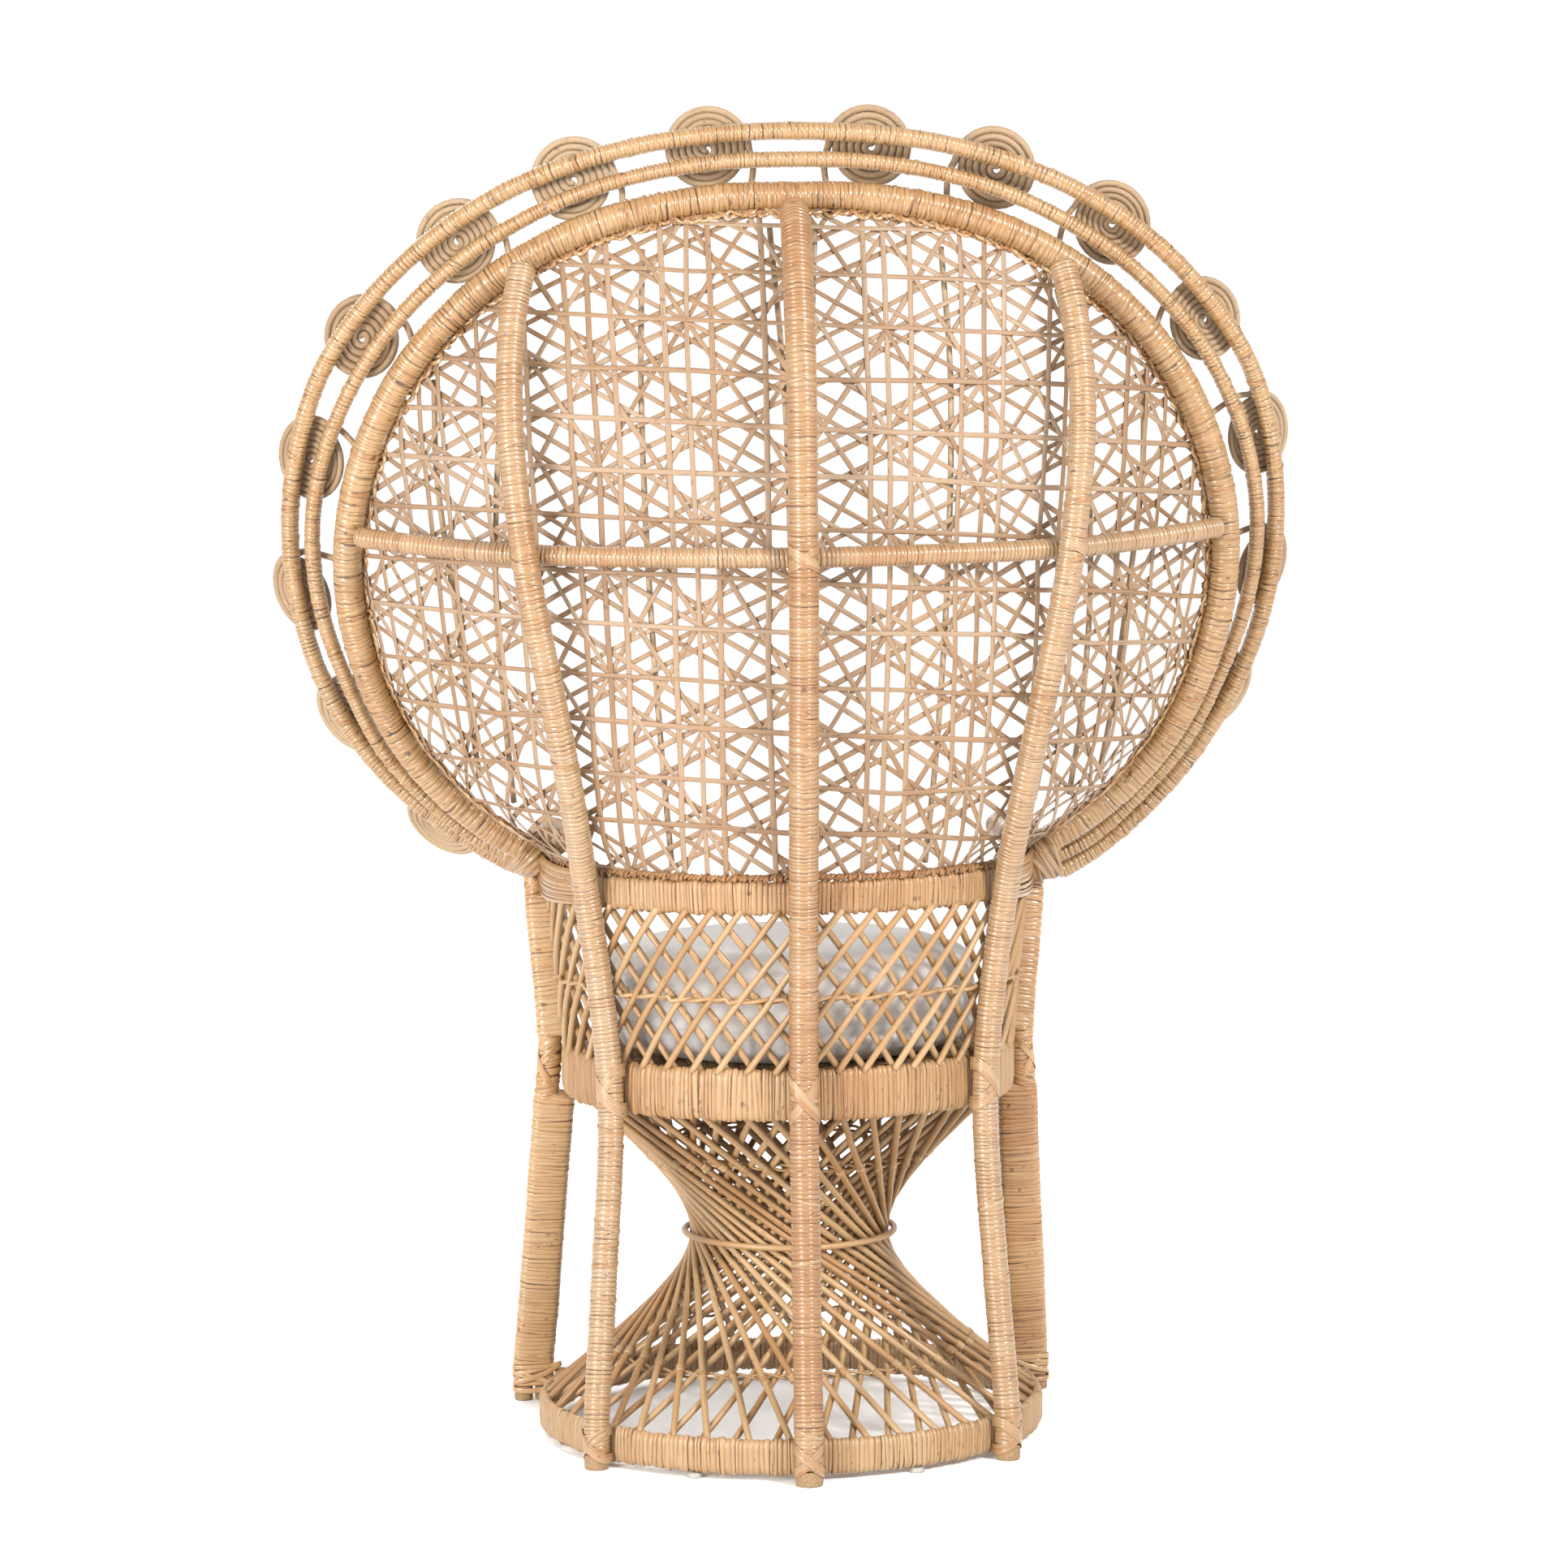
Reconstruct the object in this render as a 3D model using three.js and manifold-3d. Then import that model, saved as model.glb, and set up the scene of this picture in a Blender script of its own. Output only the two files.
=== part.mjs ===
// Rattan peacock chair: a round cane base, a lattice tub, a tall fan back with three hoops and a ring of coiled discs, and a loose round cushion.
// Millimetres, +Z up. The sitter faces -Y; the back of the chair is at +Y. The origin is on the floor, under the middle of the chair's box.
import * as THREE from "three";
import { mergeVertices } from "three/addons/utils/BufferGeometryUtils.js";
import Module from "manifold-3d";

// ---- driving dimensions ------------------------------------------------
const Y_SHIFT = -37.05; // from the middle of the round base to the middle of the box
const GAP = 0.4; // air between touching pieces

const BASE_RING_R = 271, BASE_RING_Z = [6, 44], BASE_RING_T = 12;
const SEAT_RING_R = 242, SEAT_RING_Z = [376, 431], SEAT_RING_T = 11.4;
const ARM_RING_Z = [596, 632], ARM_RING_T = 12, ARM_HALF = 257, ARM_REAR = 262;
const WAIST_RING_R = 117.5, WAIST_RING_Z = 219, WAIST_ROD_R = 3.8;

const POST_R = 15.5, SIDE_POST_R = 14, BRACE_R = 10.8, LEG_ROD_R = 11.2;
const HOOP_R = [15.5, 8.25, 9.5]; // inner, middle, outer
const ARMREST_W = 46, ARMREST_H = 34;
const FOOT_H = 16, GLIDE_R = 8, GLIDE_H = 5.6;

const DISC_R = 48.5, DISC_T = 7, STEM_R = 3.3;
const DECK_Z = [413, 424.6], DECK_R = 235.8;
const CUSHION_R = 215, CUSHION_Z = [425.2, 556];

const WEB_T = 6, LATTICE_T = 11, SKIRT_T = 9;

// Hoop centre lines for x >= 0, from the arm up to the apex: x, y, z.
const HOOPS = [
  [[281, 22, 644], [318, 27, 666.5], [366.9, 38.8, 707.2], [413.9, 54.3, 765.7], [447.6, 71.3, 834.2], [465.9, 89.9, 909.2], [467.5, 109.1, 986.8], [452.6, 128, 1062.8], [422.4, 145.6, 1133.7], [379, 161, 1196.1], [324.9, 173.8, 1247.7], [263.6, 183.7, 1287.4], [198.3, 190.6, 1315.2], [131.6, 194.8, 1332.3], [65.3, 196.8, 1340.4], [0, 197, 1341.3]],
  [[291, 5.5, 625], [333, 5, 646], [386.8, 12.8, 694], [436.4, 27.6, 755.7], [471.8, 43.4, 828], [498.2, 62, 906.4], [506.4, 82.3, 989.9], [492.7, 105.9, 1072.9], [459.9, 128, 1149.9], [411.7, 147.2, 1217.3], [352.5, 163.1, 1273], [286.2, 175.4, 1316.3], [215.8, 184.3, 1347.4], [143.7, 190, 1367.4], [71.5, 192.9, 1377.5], [0, 193.5, 1379.5]],
  [[299.5, -9.5, 607], [344, -14.5, 632.5], [400.6, -8.6, 682], [453, 4.4, 746], [495.7, 18, 821.8], [521.7, 37.5, 904.4], [530.6, 59.1, 991.8], [521, 87, 1079.9], [492.6, 113.6, 1164.2], [442.1, 136.6, 1237.1], [379.2, 155.6, 1297.4], [307.6, 170.2, 1343.7], [231.3, 180.4, 1376], [153.6, 185.6, 1396.1], [76.4, 188.2, 1406.3], [0, 189, 1409.5]],
];
const POST_CENTRE = [[0, 293.4, 16.4], [0, 293.4, 45], [0, 277, 200], [0, 264.8, 403], [0, 286, 614], [0, 318, 790], [0, 336, 970], [0, 329, 1140], [0, 300, 1240], [0, 263, 1300], [0, 231, 1333]];
const POST_SIDE = [[219.5, 192.5, 16.4], [219.5, 192.5, 45], [209, 178, 200], [199.8, 172.2, 403], [222.5, 178, 614], [233, 210, 690], [250, 243, 790], [283, 268, 970], [296.5, 257, 1115], [292, 233, 1215], [280, 215.5, 1274]];
const BRACE = [[0, 309, 970], [140, 289, 971], [283, 240.4, 974], [385, 187, 982], [459, 134, 990]];
// A front leg's outer rod, from the armrest to the floor. Its inner rod runs beside it in two parts: up to the seat ring, which rests on it, and from there to the arm ring.
const LEG = [[274.8, -20, 631.6], [274.7, -20, 592], [272.3, -19.5, 557], [269.3, -19, 521], [265.8, -19.5, 485], [263.6, -21, 449], [262.6, -24, 412], [264.2, -27, 394], [266.4, -31, 374], [268.4, -37, 356], [271.1, -54, 316], [274.4, -70, 277], [277.2, -85.5, 238], [280.4, -100.5, 198], [283.7, -115, 159], [286.5, -131, 118], [290, -148, 78], [291.8, -157.5, 57], [293, -164.5, 38], [293, -164.5, 16.4]];
const LEG_STEP = 23.2; // from the outer rod's middle to the inner rod's
const LEG_LOW = [[243.2, -32, 374.6], [243.3, -32.5, 368], ...LEG.slice(9).map(([x, y, z]) => [x - LEG_STEP, y, z])];
const LEG_HIGH = [[251.5, -20, 594.6], ...LEG.slice(2, 6).map(([x, y, z]) => [x - LEG_STEP, y, z]), [240.1, -21.5, 432.6]];

// Outer profile of the hourglass base: radius, height.
const SKIRT = [[258, 48], [248, 62], [226, 79], [197, 99], [170, 122], [142, 151], [121.5, 177], [111.5, 200], [108.4, 222], [109.5, 240], [119, 264], [137, 290], [161, 316], [187, 340], [207.5, 357], [218, 371]];

// Coiled discs: centre x, centre z, stem foot x and z on the inner hoop. They sit up to 20 mm apart in place on the two sides.
const DISCS_LEFT = [
  [87.5, 1395.3, 43.3, 1341.2],
  [228.9, 1362, 175, 1322.3],
  [351.1, 1297.5, 292.8, 1270.4],
  [452.2, 1197.1, 392.2, 1179.8],
  [510.7, 1068.6, 458.6, 1041],
  [524, 925.8, 466.7, 915.8],
  [475.9, 786.3, 432.3, 798.5],
  [374.1, 664.9, 345.9, 688],
];
const DISCS_RIGHT = [
  [84.7, 1396.1, 39.7, 1341.3],
  [218.9, 1369.9, 164.5, 1325.1],
  [342.9, 1311, 280.6, 1277.9],
  [447, 1208.1, 385.6, 1188.2],
  [512.8, 1086.3, 454, 1058],
  [524, 940.9, 468, 929.8],
  [484, 800, 440, 812],
  [377, 672, 352, 694],
];
// Rods that run on from the upper stems, down the front of the web: x, z.
const STAYS = [
  [[24, 1316], [14, 1150], [9, 950], [6, 760], [5, 640]],
  [[158, 1292], [163, 1150], [158, 950], [146, 760], [138, 642]],
  [[284, 1246], [306, 1150], [318, 950], [311, 800], [303, 700]],
  [[380, 1156], [378, 1050], [362, 920], [348, 800], [340, 727]],
];

// ---- materials ---------------------------------------------------------
const mat = (hex, rough) => new THREE.MeshStandardMaterial({ color: new THREE.Color(hex), roughness: rough, metalness: 0 });
const CANE_WRAP = mat("#ddb884", 0.42), CANE_STICK = mat("#cda077", 0.55), CANE_STRIP = mat("#d2a67d", 0.55);
const CORE = mat("#b9966f", 0.62), END_GRAIN = mat("#d9c3a0", 0.7), GLIDE = mat("#d9d6cf", 0.45), CANVAS = mat("#e1dcd4", 0.9);

// ---- helpers -----------------------------------------------------------
const V = (p) => new THREE.Vector3(p[0], p[1], p[2]);
const wasm = await Module();
wasm.setup();

function toSolid(geometry) {
  let g = geometry.index ? geometry.toNonIndexed() : geometry.clone();
  for (const name of Object.keys(g.attributes)) if (name !== "position") g.deleteAttribute(name);
  g = mergeVertices(g, 1e-4);
  return new wasm.Manifold(new wasm.Mesh({ numProp: 3, vertProperties: g.attributes.position.array, triVerts: new Uint32Array(g.index.array) }));
}
function toGeometry(solid) {
  const m = solid.getMesh();
  const g = new THREE.BufferGeometry();
  g.setAttribute("position", new THREE.BufferAttribute(new Float32Array(m.vertProperties), 3));
  g.setIndex(new THREE.BufferAttribute(new Uint32Array(m.triVerts), 1));
  return g;
}
function regularSection(r, sides, scaleX = 1, scaleY = 1) {
  const s = new THREE.Shape();
  for (let i = 0; i < sides; i++) {
    const a = ((i + 0.5) / sides) * 2 * Math.PI;
    const x = Math.cos(a) * r * scaleX, y = Math.sin(a) * r * scaleY;
    if (i) s.lineTo(x, y);
    else s.moveTo(x, y);
  }
  s.closePath();
  return s;
}
function boxSection(w, h, c) {
  const s = new THREE.Shape();
  const x = w / 2, y = h / 2;
  s.moveTo(-x + c, -y);
  s.lineTo(x - c, -y);
  s.lineTo(x, -y + c);
  s.lineTo(x, y - c);
  s.lineTo(x - c, y);
  s.lineTo(-x + c, y);
  s.lineTo(-x, y - c);
  s.lineTo(-x, -y + c);
  s.closePath();
  return s;
}
const curveOf = (points) => new THREE.CatmullRomCurve3(points.map(V), false, "centripetal");
function sweep(points, section, steps) {
  return new THREE.ExtrudeGeometry(section, { steps, bevelEnabled: false, extrudePath: curveOf(points) });
}
const tube = (points, r, sides, steps) => sweep(points, regularSection(r, sides), steps);
const mirror = (points) => points.map(([x, ...rest]) => [-x, ...rest]);
const wholeHoop = (points) => [...points, ...mirror(points.slice(0, -1)).reverse()];

// A closed ring about the vertical axis from a profile of [radius, height].
function ring(profile, segments) {
  const points = [...profile, profile[0]].map(([r, z]) => new THREE.Vector2(r, z));
  const g = new THREE.LatheGeometry(points, segments);
  g.rotateX(Math.PI / 2);
  return outward(g);
}
// A solid of revolution whose profile starts and ends on the axis.
function turned(profile, segments) {
  const g = new THREE.LatheGeometry(profile.map(([r, z]) => new THREE.Vector2(r, z)), segments);
  g.rotateX(Math.PI / 2);
  return outward(g);
}
function band(r, t, z, segments) {
  const c = 2.5, a = r - t / 2, b = r + t / 2;
  return ring([[a + c, z[0]], [b - c, z[0]], [b, z[0] + c], [b, z[1] - c], [b - c, z[1]], [a + c, z[1]], [a, z[1] - c], [a, z[0] + c]], segments);
}
function signedVolume(g) {
  const n = g.index ? g.toNonIndexed() : g;
  const p = n.attributes.position.array;
  let v = 0;
  for (let i = 0; i < p.length; i += 9) {
    v += p[i] * (p[i + 4] * p[i + 8] - p[i + 5] * p[i + 7]) - p[i + 1] * (p[i + 3] * p[i + 8] - p[i + 5] * p[i + 6]) + p[i + 2] * (p[i + 3] * p[i + 7] - p[i + 4] * p[i + 6]);
  }
  return v / 6;
}
function outward(g) {
  const n = g.index ? g.toNonIndexed() : g;
  for (const name of Object.keys(n.attributes)) if (name !== "position") n.deleteAttribute(name);
  if (signedVolume(n) < 0) {
    const p = n.attributes.position.array;
    for (let i = 0; i < p.length; i += 9) {
      for (let k = 0; k < 3; k++) [p[i + 3 + k], p[i + 6 + k]] = [p[i + 6 + k], p[i + 3 + k]];
    }
  }
  return n;
}
// A slab of even thickness about the surface f(u, v), u and v from 0 to 1.
function slab(f, nu, nv, t) {
  const e = 1e-3;
  const rows = [[], []];
  for (let j = 0; j <= nv; j++) {
    for (let i = 0; i <= nu; i++) {
      const u = i / nu, v = j / nv;
      const p = f(u, v);
      const du = f(Math.min(u + e, 1), v).sub(f(Math.max(u - e, 0), v));
      const dv = f(u, Math.min(v + e, 1)).sub(f(u, Math.max(v - e, 0)));
      const n = du.cross(dv).normalize().multiplyScalar(t / 2);
      rows[0].push(p.clone().add(n));
      rows[1].push(p.clone().sub(n));
    }
  }
  const out = [];
  const at = (s, i, j) => rows[s][j * (nu + 1) + i];
  const quad = (a, b, c, d) => { for (const q of [a, b, c, a, c, d]) out.push(q.x, q.y, q.z); };
  for (let j = 0; j < nv; j++) {
    for (let i = 0; i < nu; i++) {
      quad(at(0, i, j), at(0, i + 1, j), at(0, i + 1, j + 1), at(0, i, j + 1));
      quad(at(1, i, j), at(1, i, j + 1), at(1, i + 1, j + 1), at(1, i + 1, j));
    }
  }
  for (let i = 0; i < nu; i++) {
    quad(at(1, i, 0), at(1, i + 1, 0), at(0, i + 1, 0), at(0, i, 0));
    quad(at(0, i, nv), at(0, i + 1, nv), at(1, i + 1, nv), at(1, i, nv));
  }
  for (let j = 0; j < nv; j++) {
    quad(at(0, 0, j), at(0, 0, j + 1), at(1, 0, j + 1), at(1, 0, j));
    quad(at(1, nu, j), at(1, nu, j + 1), at(0, nu, j + 1), at(0, nu, j));
  }
  const g = new THREE.BufferGeometry();
  g.setAttribute("position", new THREE.Float32BufferAttribute(out, 3));
  return outward(g);
}
function lerpTable(table, t) {
  const up = table[0][0] < table[table.length - 1][0];
  const rows = up ? table : [...table].reverse();
  if (t <= rows[0][0]) return rows[0][1];
  for (let i = 1; i < rows.length; i++) {
    if (t <= rows[i][0]) {
      const [a, b] = [rows[i - 1], rows[i]];
      return a[1] + ((b[1] - a[1]) * (t - a[0])) / (b[0] - a[0]);
    }
  }
  return rows[rows.length - 1][1];
}

// ---- the woven surface of the back -------------------------------------
// At height z: the half width and the depth where the web meets the inner hoop (lower down, the arm ring), and its depth on the middle line.
const WEB_X = [[600, 258], [632, 258.5], [648, 270], ...HOOPS[0].slice(1).map(([x, , z]) => [z, x - HOOP_R[0] + 2])];
const WEB_EDGE_Y = [[600, 0], [632, 2], [648, 14], ...HOOPS[0].slice(1).map(([, y, z]) => [z, y - 6])];
const WEB_Y = [[600, 258], [632, 259], [700, 264], [800, 274], [900, 282], [970, 284], [1050, 284], [1130, 277], [1200, 263], [1260, 240], [1300, 221], [1341, 197]];
const WEB_P = [[600, 0.5], [632, 0.5], [750, 0.66], [900, 0.9], [1000, 1.0], [1150, 0.95], [1341, 0.95]];
function webY(x, z) {
  const xh = lerpTable(WEB_X, z), yh = lerpTable(WEB_EDGE_Y, z), yc = lerpTable(WEB_Y, z);
  const s = Math.max(0, 1 - (x / xh) ** 2);
  return yh + (yc - yh) * s ** lerpTable(WEB_P, z);
}
function webNormal(x, z) {
  return new THREE.Vector3((webY(x + 2, z) - webY(x - 2, z)) / 4, -1, (webY(x, z + 2) - webY(x, z - 2)) / 4).normalize();
}
function makeWeb() {
  // outline: just inside the inner hoop, and along the top of the arm ring
  const z0 = ARM_RING_Z[1] + 1, inset = HOOP_R[0] + 3.6;
  const line = curveOf(wholeHoop(HOOPS[0]).map(([x, , z]) => [x, 0, z])).getSpacedPoints(35);
  const outline = line.map((p, i) => {
    const t = line[Math.min(i + 1, line.length - 1)].clone().sub(line[Math.max(i - 1, 0)]).normalize();
    const n = new THREE.Vector3(t.z, 0, -t.x);
    if (n.dot(new THREE.Vector3(-p.x, 0, 950 - p.z)) < 0) n.negate();
    return p.clone().addScaledVector(n, inset);
  });
  for (let i = 0; i <= 10; i++) outline.push(new THREE.Vector3(-254 * Math.cos((i / 10) * Math.PI), 0, z0));
  const rings = [0.3, 0.54, 0.73, 0.86, 0.94, 1], middle = new THREE.Vector3(0, 0, 930);
  const layer = (side) => {
    const at = (q) => new THREE.Vector3(q.x, webY(q.x, q.z), q.z).addScaledVector(webNormal(q.x, q.z).setZ(q.z < z0 + 1 ? 0 : webNormal(q.x, q.z).z), (side * WEB_T) / 2);
    return [at(middle), ...rings.map((k) => outline.map((p) => at(middle.clone().lerp(p, k))))];
  };
  const faces = [layer(1), layer(-1)], out = [], n = outline.length;
  const tri = (...q) => q.forEach((p) => out.push(p.x, p.y, p.z));
  for (let i = 0; i < n; i++) {
    const j = (i + 1) % n;
    tri(faces[0][0], faces[0][1][i], faces[0][1][j]);
    tri(faces[1][0], faces[1][1][j], faces[1][1][i]);
    for (let k = 1; k < rings.length; k++) {
      const [a, b] = faces;
      tri(a[k][i], a[k + 1][i], a[k + 1][j]); tri(a[k][i], a[k + 1][j], a[k][j]);
      tri(b[k][i], b[k + 1][j], b[k + 1][i]); tri(b[k][i], b[k][j], b[k + 1][j]);
    }
    const a = faces[0][rings.length], b = faces[1][rings.length];
    tri(a[i], b[i], b[j]); tri(a[i], b[j], a[j]);
  }
  const g = new THREE.BufferGeometry();
  g.setAttribute("position", new THREE.Float32BufferAttribute(out, 3));
  return outward(g);
}

// ---- coiled discs and their stems --------------------------------------
function nearestOn(points, x, z) {
  const c = curveOf(points).getSpacedPoints(300);
  let best = 0, d = Infinity;
  c.forEach((p, i) => { const e = (p.x - x) ** 2 + (p.z - z) ** 2; if (e < d) { d = e; best = i; } });
  const a = c[Math.max(best - 2, 0)], b = c[Math.min(best + 2, c.length - 1)];
  return { point: c[best].clone(), tangent: b.clone().sub(a).normalize() };
}
function discFrame([cx, cz, sx, sz]) {
  const m = nearestOn(HOOPS[1], cx, cz), o = nearestOn(HOOPS[2], cx, cz), i = nearestOn(HOOPS[0], sx, sz);
  const across = o.point.clone().sub(m.point).normalize();
  const along = m.tangent.clone().add(o.tangent).normalize();
  const normal = across.clone().cross(along).normalize();
  if (normal.y > 0) normal.negate(); // towards the sitter
  // both hoops touch the disc's back face: tilt it for their different radii
  const pm = m.point.clone().addScaledVector(normal, HOOP_R[1]), po = o.point.clone().addScaledVector(normal, HOOP_R[2]);
  const axis = po.clone().sub(pm).normalize();
  const n = axis.clone().cross(along).normalize();
  if (n.y > 0) n.negate();
  const flat = new THREE.Vector3(cx, 0, cz);
  const k = flat.clone().sub(new THREE.Vector3(pm.x, 0, pm.z)).dot(new THREE.Vector3(axis.x, 0, axis.z)) / (axis.x ** 2 + axis.z ** 2);
  const centre = pm.clone().addScaledVector(axis, k).addScaledVector(n, DISC_T / 2 + 0.9);
  // the disc lies in front of every hoop that it crosses
  let push = 0;
  HOOPS.forEach((points, h) => {
    for (const p of curveOf(points).getSpacedPoints(160)) {
      const d = p.clone().sub(centre), depth = d.dot(n);
      d.addScaledVector(n, -depth);
      if (d.length() < DISC_R + HOOP_R[h]) push = Math.max(push, depth + HOOP_R[h] + DISC_T / 2 + 0.8);
    }
  });
  centre.addScaledVector(n, push);
  const foot = i.point.clone();
  return { centre, normal: n, along, foot, footTangent: i.tangent };
}
function makeSpiral(row, side) {
  const f = discFrame(row);
  const disc = new THREE.CylinderGeometry(DISC_R, DISC_R, DISC_T, 18);
  const q = new THREE.Quaternion().setFromUnitVectors(new THREE.Vector3(0, 1, 0), f.normal);
  disc.applyQuaternion(q).translate(f.centre.x, f.centre.y, f.centre.z);
  // the stem leaves the disc's rim on the side nearer the apex and lies over the front of the inner hoop
  const inward = f.foot.clone().sub(f.centre);
  inward.addScaledVector(f.normal, -inward.dot(f.normal));
  const reach = inward.length();
  const dir = inward.clone().normalize();
  const s = Math.min(DISC_R * 0.86, reach * 0.8);
  const start = f.centre.clone().addScaledVector(dir, s);
  const over = f.foot.clone().add(new THREE.Vector3(0, -(HOOP_R[0] + STEM_R + 1.6), 0));
  const stem = tube([start.toArray(), start.clone().lerp(over, 0.5).toArray(), over.toArray()], STEM_R, 6, 2);
  let g = toGeometry(toSolid(disc).add(toSolid(outward(stem))));
  if (side < 0) { g.scale(-1, 1, 1); g = outward(g); }
  return g;
}
function makeStay(points) {
  const off = WEB_T / 2 + STEM_R + 3.8;
  const path = points.map(([x, z]) => {
    const n = webNormal(x, z);
    return [x + n.x * off, webY(x, z) + n.y * off, z + n.z * off];
  });
  return tube(path, STEM_R, 6, 9);
}

// ---- assembly -------------------------------------------------------------
const chair = new THREE.Group();
const frame = new THREE.Group(), fan = new THREE.Group(), base = new THREE.Group(), soft = new THREE.Group();
chair.add(frame, fan, base, soft);
chair.position.y = Y_SHIFT;
const clean = (geometry) => {
  const g = toGeometry(toSolid(outward(geometry)));
  g.computeVertexNormals();
  return g;
};
function put(group, name, geometry, material) {
  const mesh = new THREE.Mesh(clean(geometry), material);
  mesh.name = name;
  group.add(mesh);
  return mesh;
}

// posts, brace and hoops
put(frame, "post_centre", tube(POST_CENTRE, POST_R, 8, 16), CANE_WRAP);
put(frame, "post_left", tube(POST_SIDE, SIDE_POST_R, 8, 15), CANE_WRAP);
put(frame, "post_right", tube(mirror(POST_SIDE), SIDE_POST_R, 8, 15), CANE_WRAP);
put(frame, "back_brace", tube([...mirror(BRACE).reverse().slice(0, -1), ...BRACE], BRACE_R, 8, 16), CANE_WRAP);
["inner", "middle", "outer"].forEach((which, i) => put(fan, `hoop_${which}`, tube(wholeHoop(HOOPS[i]), HOOP_R[i], i ? 7 : 8, 36), CANE_WRAP));
put(fan, "fan_web", makeWeb(), CANE_STRIP);
DISCS_LEFT.forEach((row, i) => {
  put(fan, `spiral_left_${i + 1}`, makeSpiral(row, 1), CORE);
  put(fan, `spiral_right_${i + 1}`, makeSpiral(DISCS_RIGHT[i], -1), CORE);
});
STAYS.forEach((row, i) => {
  put(fan, `stay_left_${i + 1}`, makeStay(row), CORE);
  put(fan, `stay_right_${i + 1}`, makeStay(mirror(row)), CORE);
});

// arm ring: half circle behind, straight arms forward; armrests lie on it
const armLine = [];
for (let i = 0; i <= 12; i++) {
  const a = (i / 12) * Math.PI;
  armLine.push([ARM_HALF * Math.cos(a), ARM_REAR * Math.sin(a), (ARM_RING_Z[0] + ARM_RING_Z[1]) / 2]);
}
const armPath = [[ARM_HALF - 3, -118, armLine[0][2]], [ARM_HALF, -60, armLine[0][2]], ...armLine, [-ARM_HALF, -60, armLine[0][2]], [-(ARM_HALF - 3), -118, armLine[0][2]]];
put(frame, "arm_ring", sweep(armPath, boxSection(ARM_RING_Z[1] - ARM_RING_Z[0], ARM_RING_T, 2.5), 34), CANE_WRAP);
const restZ = ARM_RING_Z[1] + GAP + ARMREST_H / 2 + 0.6;
const rest = [[ARM_HALF + 1, 2, restZ], [ARM_HALF, -50, restZ], [ARM_HALF - 2, -100, restZ], [ARM_HALF - 3, -124, restZ]];
put(frame, "armrest_left", sweep(rest, regularSection(1, 10, ARMREST_H / 2, ARMREST_W / 2), 4), CANE_WRAP);
put(frame, "armrest_right", sweep(mirror(rest), regularSection(1, 10, ARMREST_H / 2, ARMREST_W / 2), 4), CANE_WRAP);

// front legs: an outer rod, and an inner rod in two parts with the seat ring between them
for (const [which, line, steps] of [["outer", LEG, 19], ["inner", LEG_LOW, 12], ["upper", LEG_HIGH, 6]]) {
  put(frame, `leg_left_${which}_rod`, tube(line, LEG_ROD_R, 8, steps), CANE_WRAP);
  put(frame, `leg_right_${which}_rod`, tube(mirror(line), LEG_ROD_R, 8, steps), CANE_WRAP);
}

// round base
put(base, "seat_ring", band(SEAT_RING_R, SEAT_RING_T, SEAT_RING_Z, 36), CANE_WRAP);
const glidePlaces = [["rear_left", 1, 1], ["rear_right", -1, 1], ["front_left", 1, -1], ["front_right", -1, -1]].map(([n, sx, sy]) => [n, sx * 117.5, sy * 244.2]);
put(base, "base_ring", band(BASE_RING_R, BASE_RING_T, BASE_RING_Z, 36), CANE_WRAP);
for (const [n, x, y] of glidePlaces) {
  const g = new THREE.CylinderGeometry(GLIDE_R - 1, GLIDE_R, GLIDE_H, 12);
  g.rotateX(-Math.PI / 2).rotateX(Math.PI).translate(x, y, GLIDE_H / 2);
  put(base, `glide_${n}`, g, GLIDE);
}
const waist = [];
for (let i = 0; i < 6; i++) waist.push([WAIST_RING_R + WAIST_ROD_R * Math.cos((i / 6) * 2 * Math.PI), WAIST_RING_Z + WAIST_ROD_R * Math.sin((i / 6) * 2 * Math.PI)]);
put(base, "waist_ring", ring(waist, 24), CANE_STICK);
const skirtIn = SKIRT.map(([r, z], i) => {
  const a = SKIRT[Math.max(i - 1, 0)], b = SKIRT[Math.min(i + 1, SKIRT.length - 1)];
  const dr = b[0] - a[0], dz = b[1] - a[1], l = Math.hypot(dr, dz);
  return [r - (SKIRT_T * dz) / l, z + (SKIRT_T * dr) / l];
});
skirtIn[0][1] = SKIRT[0][1];
skirtIn[skirtIn.length - 1][1] = SKIRT[SKIRT.length - 1][1];
put(base, "base_skirt", ring([...SKIRT, ...skirtIn.reverse()], 24), CANE_STICK);
put(base, "seat_deck", turned([[0, DECK_Z[0]], [DECK_R, DECK_Z[0]], [DECK_R, DECK_Z[1]], [0, DECK_Z[1]]], 36), CANE_STRIP);

// tub lattice between the seat ring and the arm ring, round the back from leg to leg
const lat0 = SEAT_RING_Z[1] + 1, lat1 = ARM_RING_Z[0] - 1.2;
put(base, "seat_lattice", slab((u, v) => {
  const a = 0.012 + u * (Math.PI - 0.024), z = lat0 + v * (lat1 - lat0);
  const rx = SEAT_RING_R + (ARM_HALF - SEAT_RING_R) * v, ry = SEAT_RING_R + (ARM_REAR - SEAT_RING_R) * v;
  return new THREE.Vector3(rx * Math.cos(a), ry * Math.sin(a), z);
}, 26, 2, LATTICE_T), CANE_STICK);

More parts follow.
